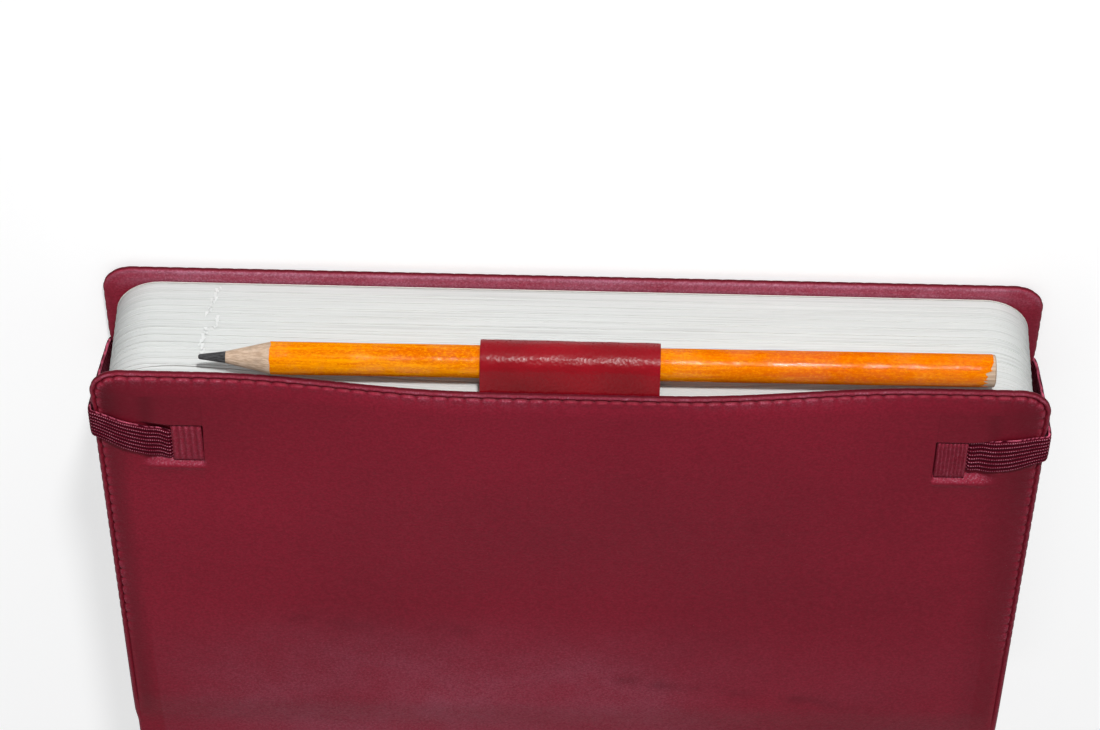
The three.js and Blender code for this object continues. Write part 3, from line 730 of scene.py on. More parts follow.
def turn_in_sheen(x, y, inset):
    """A painted sheen: the skin turned over the front cover's edge is paler along its fold and beside the
    leaves.
    """
    pale = 0.38 + 0.6 * peak(inset, 0.62, 0.4) + 0.22 * peak(inset, 2.7, 0.45)
    share = ramp(inset, 0.04, 0.3) * (pale + 0.12 * ripple(x, y, 40, 29))
    return share * (1 - 0.8 * ramp(y, 2.5, 8)) * (1 - 0.5 * ramp(np.abs(x), 88, 102))


def spine_sheen(x, y):
    """A painted sheen: the outer skin is a little greyer towards the spine, most at its middle."""
    middle = 1 - 0.8 * ramp(np.abs(x - 26), 24, 84)
    return 0.2 * ramp(y, 80, 116) * middle * (1 + 0.3 * ripple(x, y, 30, 37))


def cover_mesh(sockets, band):
    """A padded skin from its fore-edge to the spine, as heights over the cover's inner face."""
    xs, ys = cover_lines(sockets)
    base, direction, corners = perimeter(xs, ys)
    count = len(base)
    points, light, dark, painted_sheen, faces = [], [], [], [], []

    def add(x, y, height, pale, dim, veil=0.0):
        start = sum(len(block) for block in points)
        points.append(np.column_stack([x.ravel(), y.ravel(), height.ravel()]))
        light.append(pale.ravel())
        dark.append(dim.ravel())
        painted_sheen.append((np.zeros(x.shape) + veil).ravel())
        return start + np.arange(x.size).reshape(x.shape)

    rim = base + direction * CORNER
    along = np.concatenate([[0], np.cumsum(np.linalg.norm(np.diff(rim, axis=0), axis=1))])

    def ring(inset, outer):
        x, y = (base + direction * (CORNER - inset)).T
        height, pale, dim = outer_face(x, y, np.full(count, inset), along, band)
        # A painted highlight along the top of the lip at the fore-edge, in patches.
        painted_highlight_share = 0.16 + 0.4 * np.clip(ripple(x, y, 6, 31), 0, 1) * (1 - ramp(y, 2, 5))
        veil = painted_highlight_share * window(inset, 0.15, 0.25, 0.45, 0.7)
        if not outer:
            height = np.minimum(inner_face(y, np.full(count, inset)), height)
            pale = pale * 0
            # Painted shade on the lip's underside: a thin outer line on the front cover, over the lower
            # round on the back cover.
            dim = dim * 0 + 0.85 * (1 - (ramp(inset, 0.03, 0.18) if band else ramp(inset, 0.3, 0.9)))
            # A painted sheen on the front cover's turned-in skin, and a faint even one on the back cover's.
            veil = turn_in_sheen(x, y, inset) if band else 0.1
        cap, deep = puffs(x, y, along)
        fade = 1 - min(1, inset / 3)
        pull = 0.12 * (1 - np.clip(cap, 0, 1)) * deep + JOINT_PULL * ramp(y, PANEL - 6, PANEL + 0.5)
        pull = (pull + squeeze(x, y, band) * np.abs(direction[:, 0])) * fade
        return add(x - direction[:, 0] * pull, y - direction[:, 1] * pull, height, pale, dim, veil)

    top = [ring(d, True) for d in TOP_INSETS]
    under = [top[0]] + [ring(d, False) for d in UNDER_INSETS]
    for rings in (top, under):
        for low, high in zip(rings, rings[1:]):
            faces += np.column_stack([low[:-1], low[1:], high[1:], high[:-1]]).tolist()

    gx, gy = np.meshgrid(xs, ys, indexing="ij")
    full = np.full(gx.shape, CORNER)
    height, pale, dim = outer_face(gx, gy, full, np.zeros(gx.shape), band)
    if sockets:
        # The recess adds its painted highlight and painted shade to the marks.
        drop, ledge, recess_edge_shade = socket_shape(gx, gy)
        height, pale, dim = height - drop, pale + ledge, dim + recess_edge_shade
    # The top face also takes a painted sheen towards the spine.
    grids = [add(gx, gy, height, pale, dim, spine_sheen(gx, gy))]
    grids.append(add(gx, gy, inner_face(gy, full), gx * 0, gx * 0))
    for grid, loop in zip(grids, (top[-1], under[-1])):
        quads = [grid[:-1, :-1], grid[1:, :-1], grid[1:, 1:], grid[:-1, 1:]]
        faces += np.column_stack([part.ravel() for part in quads]).tolist()
        stops = [k for k, corner in enumerate(corners) if corner is not None]
        for a, b in zip(stops, stops[1:]):
            met = [corners[b]] if corners[a] == corners[b] else [corners[b], corners[a]]
            faces.append(loop[a : b + 1].tolist() + [int(grid[corner]) for corner in met])

    def column(rings, index):
        return [int(loop[index]) for loop in rings]

    end = column(top, 0) + grids[0][::-1, -1].tolist() + column(top[::-1], -1)
    end += column(under[1:], -1) + grids[1][:, -1].tolist() + column(under[:0:-1], 0)
    faces.append(end)
    marks = {"light": light, "dark": dark, "painted_sheen": painted_sheen}
    marks = {name: np.clip(np.concatenate(values), 0, 1) for name, values in marks.items()}
    return np.concatenate(points), faces, marks


def cover(side, points, faces, marks):
    skin = piece(f"{side}_cover_leather", points, faces, LEATHER, sharp=60, marks=marks)
    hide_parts(f"{side}_cover_skin")
    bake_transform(skin)


def back_cover():
    points, faces, marks = cover_mesh(sockets=True, band=False)
    points[:, 2] += BACK_INNER + bow(points[:, 0], points[:, 1])
    cover("back", points, faces, marks)


def front_cover():
    points, faces, marks = cover_mesh(sockets=False, band=True)
    points[:, 2] = np.maximum(COVER_THICK - points[:, 2], 0.02)
    cover("front", points, faces, marks)


def spine():
    """The skin round the spine, between the two joints."""
    radius, film = 3.0, FILM[1] - FILM[0]
    low, high = COVER_THICK - FILM[1], BACK_INNER + FILM[1]
    bend = CASE_WIDTH - radius

    def wrap(r, z_low, z_high):
        quarter = [math.radians(9 * k) for k in range(11)]
        lower = [(bend + r * math.sin(a), z_low + r - r * math.cos(a)) for a in quarter]
        upper = [(bend + r * math.cos(a), z_high - r + r * math.sin(a)) for a in quarter]
        return [(SKIN_END, z_low), *lower, *upper, (SKIN_END, z_high)]

    outer = wrap(radius, low, high)
    loop = outer + wrap(radius - film, low + film, high - film)[::-1]
    middle = Vector((146.0, (low + high) / 2))
    sections = []
    half = HALF - JOINT_PULL
    stations = [-half, -half + 0.05, -half + 0.2] + list(np.linspace(-half + 2, half - 2, 45))
    stations += [half - 0.2, half - 0.05, half]
    for x in stations:
        tuck = 0.25 * (1 - min(1, (half - abs(x)) / 0.25)) ** 2
        ring = []
        for k, (y, z) in enumerate(loop):
            inward = (middle - Vector((y, z))).normalized() * tuck * (1 if k < len(outer) else -0.4)
            ring.append((x, y + inward.x, z + inward.y + 0.04 * wobble(x, y, z, 7)))
        sections.append(ring)
    points, faces = sweep(sections)
    skin = piece("spine_leather", points, faces, LEATHER, sharp=50)
    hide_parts("spine_skin")
    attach(skin, "text_block")


# Anchor pads


def anchor_pad(name, ribs):
    low, high = node_box(name)
    xs = np.linspace(low[0], high[0], ribs * 8 + 1)
    ys = fill_steps([low[1] + SHIFT + 0.05, high[1] + SHIFT - 0.05], 0.6)
    crest = 0.5 - 0.5 * np.cos(math.pi / 4 * np.arange(len(xs)))
    rows = []
    for y in ys:
        row = []
        for x, rib in zip(xs, crest):
            ends = min(1.0, min(y - ys[0], ys[-1] - y) / 0.7)
            ragged = 0.12 * wobble(x, y, 1, 1.1)
            row.append((x + 0.1 * wobble(x, y, 3, 3), y, high[2] - 0.4 + 0.38 * rib * ends + ragged * ends))
        rows.append(row)
    upper = np.array(rows).reshape(-1, 3)
    lower = upper.copy()
    lower[:, 2] = low[2] + 0.02
    count = len(upper)
    wide = len(xs)
    faces = grid_faces(len(ys), wide) + grid_faces(len(ys), wide, start=count)
    rim = [i + j * wide for i, j in grid_rim(wide, len(ys))]
    faces += [(a, b, b + count, a + count) for a, b in zip(rim, rim[1:] + rim[:1])]
    points = np.concatenate([upper, lower])
    crest = np.tile(crest, len(ys))
    # The pad is lighter than the skin overall; on top of that, a painted highlight lies on each rib crest
    # and painted shade between the ribs.
    pale, dim = 0.3 + 0.35 * crest, 0.35 * (1 - crest) ** 2
    marks = {"light": np.append(pale, 0 * pale), "dark": np.append(dim, 0 * dim)}
    label = name.replace("_anchor_", "_welded_")
    pad = piece(label, points, faces, LEATHER, sharp=60, marks=marks)
    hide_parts(name)
    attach(pad, "back_cover")


# Elastic band


def band_stations(side):
    """The band from its pad to the front cover: x, y, z, thickness, width, rise of its rear edge."""
    lie = TOP - SOCKET_DEPTH + 0.1
    fold = 0.2 + BAND_THICK
    leg = HALF + 0.1 + BAND_THICK / 2
    over_lip = BACK_INNER + LIP_TOP + 0.12 + BAND_THICK / 2
    bottom = 0.1 + BAND_THICK / 2
    exit_y, edge_y = BAND_EXIT[side], BAND_EDGE[side]
    middle = (over_lip + bottom) / 2
    turn = leg - fold
    curve = fold * math.sqrt(0.5)
    lift = 0.35 if side < 0 else 0.15

    def lean(x):
        return exit_y + (edge_y - exit_y) * (x - 88.4) / (turn - 88.4)

    full = 1.3 if side < 0 else 1.17
    slack = 0.5 if side < 0 else 0.1
    rows = [
        (84.0, exit_y, lie + 0.17, 0.35, 0.97, 0),
        (87.9, exit_y, lie + 0.17, 0.35, 0.97, 0),
        (88.5, lean(88.5) + 0.4 * slack, lie + 0.5, BAND_THICK, 0.5 + full / 2, 0),
        (90.8, lean(90.8) + slack, TOP - 0.75, BAND_THICK, 0.15 + 0.85 * full, 0.5 * lift),
        (93.5, lean(93.5) + slack, TOP + 0.15, BAND_THICK, full, lift),
        (96.5, lean(96.5) + 0.7 * slack, TOP + 0.55, BAND_THICK, full, lift),
        (100.0, lean(100.0), TOP + 0.46, BAND_THICK, 0.35 + 0.65 * full, 0.6 * lift),
        (102.2, lean(102.2), TOP + 0.12, BAND_THICK, 0.65 + 0.35 * full, 0.3 * lift),
        (turn, edge_y, over_lip, BAND_THICK, 1.02, 0),
        (turn + curve, edge_y, over_lip - fold + curve, BAND_THICK, 1.0, 0),
        (leg, edge_y, over_lip - fold, BAND_THICK, 1.0, 0),
        (leg + 0.1, (edge_y + BAND_RUN) / 2, middle, BAND_THICK, 0.98, 0),
        (leg - 0.2, BAND_RUN, bottom + fold, BAND_THICK, 0.96, 0),
        (turn + curve - 0.2, BAND_RUN, bottom + fold - curve, BAND_THICK, 0.98, 0),
        (turn - 0.2, BAND_RUN, bottom, BAND_THICK, 1.0, 0),
        (60.0, BAND_RUN, bottom, BAND_THICK, 1.0, 0),
        (0.0, BAND_RUN, bottom, BAND_THICK, 1.0, 0),
    ]
    return [np.array([side * x, *rest]) for x, *rest in rows]


def tangent(here, beside, span, other_span):
    """The curve's direction at a row, held back where the neighbouring stretch is much shorter."""
    mean = beside * span / other_span + here * other_span / span
    return mean * min(span, 2 * other_span) / (other_span + span)


def smooth_path(rows, step):
    """Points along a curve through the rows, close together where it turns."""
    out = []
    padded = [2 * rows[0] - rows[1], *rows, 2 * rows[-1] - rows[-2]]
    for a, b, c, d in zip(padded, padded[1:], padded[2:], padded[3:]):
        pairs = ((a, b), (b, c), (c, d))
        before, span, after = (float(np.linalg.norm((q - p)[:3])) for p, q in pairs)
        count = max(2, min(14, round(span / step)))
        m0 = tangent(c - b, b - a, span, before)
        m1 = tangent(c - b, d - c, span, after)
        for k in range(count):
            t = k / count
            h = (2 * t**3 - 3 * t**2 + 1, t**3 - 2 * t**2 + t, 3 * t**2 - 2 * t**3, t**3 - t**2)
            out.append(h[0] * b + h[1] * m0 + h[2] * c + h[3] * m1)
    out.append(rows[-1])
    return out


RIDGES = 8


def band_section(row, outward, wave):
    """A flat strip with lengthwise ridges on both faces and a cord along each edge."""
    across = np.linspace(-0.5, 0.5, RIDGES * 6 + 1)
    ridge = np.abs(np.sin(across * math.pi * RIDGES))
    cord = ramp(-across, 0.445, 0.462) + 0.5 * ramp(across, 0.455, 0.47)
    edge = np.sqrt(np.clip(1 - np.abs(across * 2) ** 9, 0, 1))
    half = (row[3] / 2 - 0.16 + 0.16 * np.maximum(ridge, cord)) * edge
    tilt = np.outer(across + 0.5, outward * row[5])
    aside = across * BAND_WIDTH * row[4] + wave * (across * 2) ** 2
    wide = row[None, :3] + np.outer(aside, [0, 1, 0]) + tilt
    face = wide + np.outer(half, outward)
    back = wide - np.outer(half, outward)
    # The crest mark carries painted shade and highlight; the cord mark, a painted highlight stronger on one
    # edge and on the outer face only.
    both = [np.concatenate([ridge**3, ridge[::-1] ** 3]), np.concatenate([cord, cord * 0])]
    return np.concatenate([face, back[::-1]]), both


def strip(name, path, side):
    sections, crests, cords, uvs = [], [], [], []
    travelled = 0.0
    for k, row in enumerate(path):
        before, after = path[max(0, k - 1)], path[min(len(path) - 1, k + 1)]
        travelled += float(np.linalg.norm((row - before)[:3]))
        run = (after - before)[:3] * [1, 0, 1]
        outward = np.cross(run, [0, 1, 0]) * -side
        outward /= np.linalg.norm(outward)
        ring, (crest, cord) = band_section(row, outward, 0.1 * math.sin(travelled * 0.9))
        sections.append(ring)
        crests.append(crest)
        cords.append(cord)
        across = np.linspace(0, BAND_WIDTH, len(ring) // 2)
        across = np.concatenate([across, across[::-1]])
        uvs.append(np.column_stack([np.full(len(ring), travelled), across]))
    points, faces = sweep(sections)
    marks = {"crest": np.concatenate(crests), "cord": np.concatenate(cords)}
    return piece(name, points, faces, WEBBING, uv=np.concatenate(uvs), sharp=70, marks=marks)


def elastic_band():
    """Two straps out of the sockets, and the long run round the front cover between them."""
    runs = []
    for side, label in ((-1, "head"), (1, "tail")):
        path = smooth_path(band_stations(side), 0.45)
        low_enough = next(k for k, row in enumerate(path) if row[2] < BACK_INNER - 1)
        strap = strip(f"{label}_strap", path[: low_enough + 1], side)
        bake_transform(strap)
        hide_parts("elastic_band")
        runs.append(path[low_enough:])
    long_run = strip("band_round_front_cover", runs[0] + runs[1][::-1][1:], -1)
    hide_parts("elastic_band")
    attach(long_run, "elastic_band")


# Pencil and loop


def pencil_matrix():
    """Turns the pencil's own axis, drawn along x, to its place in the loop."""
    lift = Matrix.Rotation(-PENCIL_LEAN, 4, "Y")
    place = to_row([(0, -PENCIL_OUT, AXIS_HEIGHT)])[0]
    return Matrix.Translation(place) @ lift


def turned(name, rings, material, capped=True, segments=72, shape=None):
    """rings: (x from the blunt end, radius); shape moves a ring's point by its angle."""
    sections, uvs = [], []
    for x, radius in rings:
        section = []
        for k in range(segments):
            angle = 2 * math.pi * k / segments
            px, pr = shape(x, radius, angle) if shape else (x, radius)
            section.append((px - PENCIL_START, pr * math.cos(angle), pr * math.sin(angle)))
            uvs.append((px, 0.5 - 0.5 * math.cos(angle)))
        sections.append(section)
    points, faces = sweep(sections, capped)
    obj = piece(name, points + [0, SHIFT, 0], faces, material, uv=uvs, sharp=40)
    obj.data.transform(pencil_matrix())
    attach(obj, "pencil")
    return obj


def pencil():
    cone_start = PENCIL_LENGTH - 15.7
    wood_end = PENCIL_LENGTH - 6.0
    core = PENCIL_RADIUS - 0.07

    def chipped(x, radius, angle):
        if x < 1:
            teeth = abs((angle * 2.3 + 0.7 * noise.noise(Vector((angle * 3, 4.2, 0)))) % 1 - 0.5) * 2
            below = max(0.0, math.cos(angle - math.radians(80))) ** 1.5
            flake = abs(noise.noise(Vector((angle * 6, 1.5, 0))))
            bite = 0.25 + below * (0.6 + 2.6 * teeth) + 0.4 * flake
            return x + bite, radius
        if x > cone_start - 1:
            return x + 0.35 * noise.noise(Vector((math.cos(angle) * 2, math.sin(angle) * 2, 9))), radius
        return x, radius

    middle = [(x, PENCIL_RADIUS) for x in np.linspace(6, cone_start - 2, 24)]
    outside = [(0.35, PENCIL_RADIUS - 0.03), (0.5, PENCIL_RADIUS)] + middle
    outside += [(cone_start - 0.15, PENCIL_RADIUS), (cone_start, core + 0.01)]
    inside = [(cone_start - 0.3, core + 0.005), (0.6, core + 0.005)]
    paint = turned("pencil_varnish", outside + inside, VARNISH, False, shape=chipped)
    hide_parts("pencil_barrel")
    slope, shrink = wood_end - cone_start, 1.3 - core
    taper = [(cone_start + slope * t, core + shrink * t) for t in np.linspace(0, 1, 10)]
    body = [(0.0, core - 0.45), (0.1, core - 0.2), (0.3, core), (4, core)] + taper
    wood = turned("pencil_wood", body, CEDAR)
    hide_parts("pencil_barrel")
    blunt = PENCIL_LENGTH - 0.5
    point = [(t, 1.31 + (0.6 - 1.31) * (t - wood_end) / 5.5) for t in np.linspace(wood_end, blunt, 9)]
    point += [(blunt + 0.5 * math.sin(a), 0.1 + 0.5 * math.cos(a)) for a in (0.4, 0.8, 1.2, math.pi / 2)]
    front = [(wood_end - 2, 1.1), (wood_end - 0.02, 1.25)]
    lead = turned("pencil_point", front + point, GRAPHITE, segments=40)
    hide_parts("pencil_lead")
    disc = [(0.5, 1.05), (-0.02, 1.05), (-0.04, 0.9), (-0.05, 0.0001)]
    end = turned("lead_in_blunt_end", disc, GRAPHITE, segments=32)
    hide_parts("pencil_lead")


def pencil_loop():
    """A strip round the pencil, both ends joined as a tab in the back cover's edge."""
    tab_base = BACK_INNER + BOW_HEIGHT
    radius = LOOP_INNER + LOOP_THICK / 2
    centre = np.array([-PENCIL_OUT, AXIS_HEIGHT])
    roof = np.array([0.0, tab_base + LOOP_THICK * 0.78])
    away = roof - centre
    leave = math.atan2(away[1], away[0]) + math.acos(min(1, radius / np.linalg.norm(away)))
    arc = np.linspace(leave, 2 * math.pi + 0.05, 60)
    path = [(TAB, tab_base + 0.62), (6, tab_base + 0.62), (2, tab_base + 0.62), (0.2, tab_base + 0.64)]
    path += [tuple(centre + radius * np.array([math.cos(a), math.sin(a)])) for a in arc]
    end_y = centre[0] + radius
    path += [(end_y, AXIS_HEIGHT + 1.6), (end_y + 0.05, tab_base - 1.2), (end_y + 0.5, tab_base - 0.1)]
    path += [(end_y + 1.3, tab_base + 0.2), (4, tab_base + 0.2), (TAB, tab_base + 0.2)]
    path = np.array(path)
    count = len(path)
    sections = []
    for x in np.linspace(-LOOP_HALF, LOOP_HALF, 64):
        outer, inner = [], []
        for k, (y, z) in enumerate(path):
            run = path[min(count - 1, k + 1)] - path[max(0, k - 1)]
            normal = np.array([-run[1], run[0]]) / np.linalg.norm(run)
            free = 4 <= k < count - 6
            half = LOOP_THICK / 2 if free else 0.19
            crumple = 0.07 * wobble(x, y * 3, z * 3, 6) + 0.05 * wobble(x, y * 2, z * 2, 1.6, 7)
            edge = 0.06 * (1 - min(1, (LOOP_HALF - abs(x)) / 0.6))
            grow = half + crumple - edge if free else half
            outer.append((x, *(np.array([y, z]) - normal * grow)))
            inner.append((x, *(np.array([y, z]) + normal * half)))
        sections.append(outer + inner[::-1])
    points, faces = sweep(sections)
    loop = piece("crimson_pencil_loop", points, faces, CRIMSON, sharp=50)
    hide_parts("pencil_loop")
    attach(loop, "back_cover")


# Leaves


def sheet_lines(spine, step):
    corner = [PAGE_CORNER * k / 5 for k in range(5)]
    xs = [inset - PAGE_HALF for inset in corner]
    xs += fill_steps([-PAGE_HALF + PAGE_CORNER, PAGE_HALF - PAGE_CORNER], step)
    xs += [PAGE_HALF - inset for inset in reversed(corner)]
    ys = [PAGE_FORE + inset for inset in corner]
    ys += fill_steps([PAGE_FORE + PAGE_CORNER, spine], step)
    return xs, ys


def rounded(x, y):
    """Moves a point of a square-cornered sheet into one with rounded fore-edge corners."""
    corner_x = PAGE_HALF - PAGE_CORNER
    corner_y = PAGE_FORE + PAGE_CORNER
    a, b = (abs(x) - corner_x) / PAGE_CORNER, (corner_y - y) / PAGE_CORNER
    if a <= 0 or b <= 0:
        return x, y
    reach = max(a, b)
    angle = math.pi / 4 * (b / a) if a >= b else math.pi / 2 - math.pi / 4 * (a / b)
    across = corner_x + PAGE_CORNER * reach * math.cos(angle)
    return math.copysign(across, x), corner_y - PAGE_CORNER * reach * math.sin(angle)


def slab(xs, ys, low, high, rings, lift):
    """A sheet between two heights, its edge built from rings of (outset, height)."""
    flat = [[rounded(x, y) for y in ys] for x in xs]
    points, uvs, faces = [], [], []

    def add(x, y, z, u, v):
        points.append((x, y, z + lift(x, y, z)))
        uvs.append((u, v))
        return len(points) - 1

    grids = []
    for z in (low, high):
        grid = [[add(*flat[i][j], z, xs[i], z) for j in range(len(ys))] for i in range(len(xs))]
        for i in range(len(xs) - 1):
            for j in range(len(ys) - 1):
                faces.append((grid[i][j], grid[i + 1][j], grid[i + 1][j + 1], grid[i][j + 1]))
        grids.append(grid)
    rim = grid_rim(len(xs), len(ys))
    edge = [flat[i][j] for i, j in rim]
    outward, along = [], [0.0]
    for k, place in enumerate(edge):
        before, after = edge[k - 1], edge[(k + 1) % len(edge)]
        run = Vector((after[0] - before[0], after[1] - before[1])).normalized()
        outward.append((run.y, -run.x))
        along.append(along[-1] + math.dist(place, after))
    loops = [[grids[0][i][j] for i, j in rim]]
    for outset, z in rings:
        loop = []
        for k, (x, y) in enumerate(edge):
            out = outset(x, y) if callable(outset) else outset
            loop.append(add(x + outward[k][0] * out, y + outward[k][1] * out, z, along[k], z))
        loops.append(loop)
    loops.append([grids[1][i][j] for i, j in rim])
    for lower, upper in zip(loops, loops[1:]):
        for k in range(len(rim)):
            n = (k + 1) % len(rim)
            faces.append((lower[k], lower[n], upper[n], upper[k]))
    return points, faces, uvs


def section(name, number):
    """A folded section: its cut edge is a stack of leaf groups that don't quite line up."""
    low = node_box(name)[0][2]
    high = low + SECTION_PITCH - 0.01
    chance = random.Random(number)
    marks = [low]
    while marks[-1] < high - 0.7:
        marks.append(marks[-1] + chance.uniform(0.22, 0.55))
    marks.append(high)
    loose = 0.6 + 0.9 * (number / len(SECTIONS)) ** 2
    rings = []
    parted = 0.8 if number == len(SECTIONS) else 0.0

    def gap(x):
        return parted * (peak(x, 86, 7.5) + 0.45 * peak(x, 74, 6))

    def lift(x, y, z):
        """The last leaves of all stand off the ones below them near the tail."""
        share = 0 if z > marks[-2] + 0.05 else 0.75 if z > marks[-2] + 0.01 else 1
        return swell(x, y, z) - share * (z - low) * gap(x) * (1 - float(ramp(y, 4, 40)))

    for group, (a, b) in enumerate(zip(marks, marks[1:])):
        reach = chance.uniform(-0.05, 0.04) * loose
        groove = chance.choice((0.02, 0.03, 0.06))

        def outset(x, y, reach=reach, group=group):
            wave = wobble(x, y, number * 7 + group * 2.3, 34)
            fine = wobble(x, y, number * 5 + group * 3.1, 7)
            return reach - 0.08 + 0.05 * wave + 0.015 * fine

        rings += [(outset, a + 0.02), (outset, b - 0.02)]
        if b < high:
            opened = 1.6 if b == marks[-2] else 0.0
            rings.append((lambda x, y, f=outset, g=groove, o=opened: f(x, y) - g - o * gap(x), b))
    xs, ys = sheet_lines(PAGE_SPINE, 2.5 if parted else 5)
    points, faces, uvs = slab(xs, ys, low, high, rings, lift)
    made = piece(f"pages_{number:02d}", points, faces, PAGES, uv=uvs, sharp=30)
    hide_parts(name)
    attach(made, "text_block")


def leaf(node, body, material, number, wave, raised=0.0):
    """A single leaf, a little wavy towards its fore-edge."""
    low, high = node_box(node)
    base = low[2]
    spine_end = high[1] + SHIFT

    def lift(x, y, z):
        loose = 1 - float(ramp(y, 4, 70))
        hump = peak(x, 78, 15) + 0.6 * peak(x, -84, 12)
        return swell(x, y, z) + loose * (raised + wave * (hump + 0.5 * wobble(x, y, number, 22)))

    xs, ys = sheet_lines(spine_end, 4)
    bottom, top = base + 0.06, base + 0.2
    rings = [(-0.3 * number, bottom), (-0.3 * number, top)]
    points, faces, uvs = slab(xs, ys, bottom, top, rings, lift)
    made = piece(f"{node}_sheet", points, faces, material, uv=uvs, sharp=30)
    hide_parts(node)
    if body == "text_block":
        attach(made, body)
        return
    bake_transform(made)


TORN_LINE = [
    [(78.6, 3.9), (80.3, 11.6)],
    [(78.3, 12.2), (78.8, 15.8)],
    [(80.3, 15.6), (81.2, 20.6), (80.6, 23.6)],
]


def torn_fibres():
    """A broken line of lifted paper fibres across the leaves near the tail."""
    chance = random.Random(4)
    points, faces = [], []
    for line in TORN_LINE:
        for (x0, z0), (x1, z1) in zip(line, line[1:]):
            count = round(math.hypot(x1 - x0, z1 - z0) / 0.5)
            for k in range(count):
                t = (k + chance.uniform(0.2, 0.8)) / count
                x = x0 + (x1 - x0) * t + chance.uniform(-0.4, 0.4)
                z = z0 + (z1 - z0) * t
                length, wide = chance.uniform(0.7, 1.7), chance.uniform(0.15, 0.42)
                lean = chance.uniform(-0.35, 0.35)
                start = len(points)
                for s in (0, 0.35, 0.7, 1):
                    out = 0.05 + 0.2 * math.sin(s * 2.2)
                    half = wide * (1 - s) ** 0.5 + 0.02
                    corners = ((-half, 0.0), (half, 0.0), (half * 0.6, 0.06), (-half * 0.6, 0.06))
                    for edge, depth in corners:
                        points.append((x + edge + lean * s, PAGE_FORE - out + depth, z + length * s))
                faces += grid_faces(4, 4, start, close=True)
                faces += [tuple(range(start, start + 4)), tuple(range(start + 12, start + 16))]
    points = np.array(points)
    points[:, 2] += swell(points[:, 0], points[:, 1], points[:, 2])
    fibres = piece("torn_fibres", points, faces, FIBRE)
    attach(fibres, "text_block")


def text_block():
    for number, name in enumerate(SECTIONS, 1):
        section(name, number)
    torn_fibres()
    leaf("front_flyleaf", "text_block", ENDPAPER, 0, 0.0)
    leaf("leaf_before_last", "leaf_before_last", PAPER, 1, 0.2, -0.1)
    leaf("last_leaf", "last_leaf", PAPER, 2, -0.45, 0.1)
    leaf("back_flyleaf", "back_flyleaf", ENDPAPER, 0, 0.1, 0.28)


def keep_node(name, material):
    node = frame["nodes"][name]
    node.data.materials.clear()
    node.data.materials.append(material)


# Camera, light and floor

EYE = (-4.8, -624.4, 540.1)
AHEAD = (0.0114, 0.7725, -0.6349)
DOWN = (-0.0226, 0.6349, 0.7722)
FOCAL = 121.55


def camera():
    data = bpy.data.cameras.new("camera")
    data.lens = FOCAL
    data.sensor_width = 36
    data.clip_end = 20
    eye = bpy.data.objects.new("camera", data)
    back = -Vector(AHEAD).normalized()
    right = (-Vector(DOWN)).cross(back).normalized()
    up = back.cross(right)
    turn = Matrix((right, up, back)).transposed().to_4x4()
    eye.matrix_world = Matrix.Translation(to_row([EYE])[0]) @ turn
    bpy.context.collection.objects.link(eye)
    bpy.context.scene.camera = eye


def lamp(name, place, target, size, power):
    data = bpy.data.lights.new(name, "AREA")
    data.shape = "DISK"
    data.size = size
    data.energy = power
    light = bpy.data.objects.new(name, data)
    light.location = place
    aim = Vector(target) - Vector(place)
    light.rotation_euler = aim.to_track_quat("-Z", "Y").to_euler()
    bpy.context.collection.objects.link(light)


def white_to_camera(tree, lit, plain):
    """Shows plain to camera, glossy and transmitted rays, and lit to the rest."""
    path = tree.nodes.new("ShaderNodeLightPath")
    seen = path.outputs["Is Camera Ray"]
    for other in ("Is Glossy Ray", "Is Transmission Ray"):
        add = tree.nodes.new("ShaderNodeMath")
        add.operation = "MAXIMUM"
        tree.links.new(seen, add.inputs[0])
        tree.links.new(path.outputs[other], add.inputs[1])
        seen = add.outputs[0]
    mix = tree.nodes.new("ShaderNodeMixShader")
    tree.links.new(seen, mix.inputs["Fac"])
    tree.links.new(lit, mix.inputs[1])
    tree.links.new(plain, mix.inputs[2])
    return mix.outputs[0]


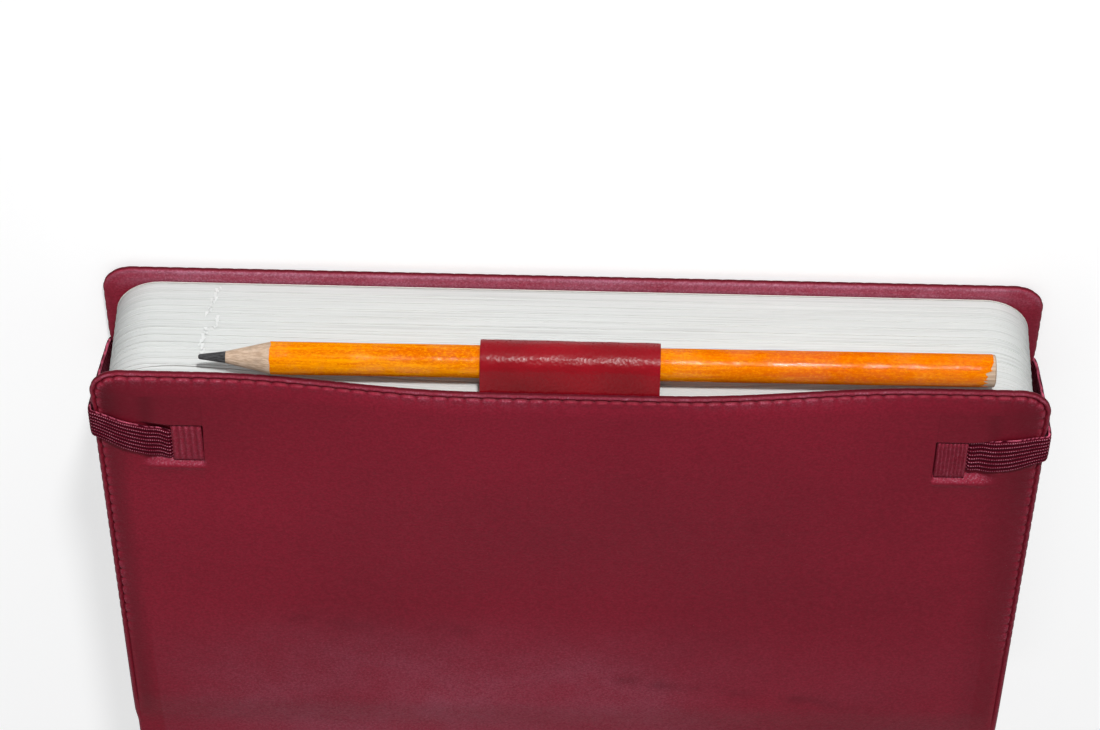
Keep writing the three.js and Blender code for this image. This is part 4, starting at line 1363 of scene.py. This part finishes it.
def world():
    made = bpy.data.worlds.new("studio")
    bpy.context.scene.world = made
    made.use_nodes = True
    tree = made.node_tree
    tree.nodes.clear()
    sky = tree.nodes.new("ShaderNodeBackground")
    sky.inputs["Color"].default_value = (0.95, 0.97, 1, 1)
    sky.inputs["Strength"].default_value = 0.17
    white = tree.nodes.new("ShaderNodeBackground")
    white.inputs["Strength"].default_value = 1.0
    out = tree.nodes.new("ShaderNodeOutputWorld")
    tree.links.new(white_to_camera(tree, sky.outputs[0], white.outputs[0]), out.inputs["Surface"])


def floor():
    size = 3.0
    mesh = bpy.data.meshes.new("floor")
    corners = [(-size, -size, 0), (size, -size, 0), (size, size, 0), (-size, size, 0)]
    mesh.from_pydata(corners, [], [(0, 1, 2, 3)])
    ground = bpy.data.objects.new("floor", mesh)
    bpy.context.collection.objects.link(ground)
    material = bpy.data.materials.new("white_floor")
    material.use_nodes = True
    tree = material.node_tree
    shader = tree.nodes["Principled BSDF"]
    shader.inputs["Base Color"].default_value = (0.6, 0.6, 0.6, 1)
    shader.inputs["Roughness"].default_value = 0.9
    glow = tree.nodes.new("ShaderNodeEmission")
    glow.inputs["Strength"].default_value = 0.58
    add = tree.nodes.new("ShaderNodeAddShader")
    tree.links.new(shader.outputs[0], add.inputs[0])
    tree.links.new(glow.outputs[0], add.inputs[1])
    lifted = white_to_camera(tree, shader.outputs[0], add.outputs[0])
    tree.links.new(lifted, tree.nodes["Material Output"].inputs["Surface"])
    mesh.materials.append(material)


def light():
    bpy.context.scene.view_settings.view_transform = "Standard"
    world()
    lamp("key", (-0.1, -1.11, 0.46), (0, 0, 0.015), 0.12, 11.8)
    lamp("front", (0.0, -1.2, 0.22), (0, 0, 0.02), 1.3, 3.3)
    lamp("fill", (0.25, 0.3, 1.3), (0, 0, 0.02), 0.9, 1.9)
    floor()


back_cover()
front_cover()
spine()
anchor_pad("head_anchor_pad", 8)
anchor_pad("tail_anchor_pad", 5)
elastic_band()
pencil()
pencil_loop()
text_block()
for board in ("front_cover_board", "back_cover_board", "spine_board"):
    keep_node(board, BOARD)
for lining in ("front_pastedown", "back_pastedown"):
    keep_node(lining, ENDPAPER)
for bead in ("headband", "tailband", "mull"):
    keep_node(bead, CLOTH)
camera()
light()
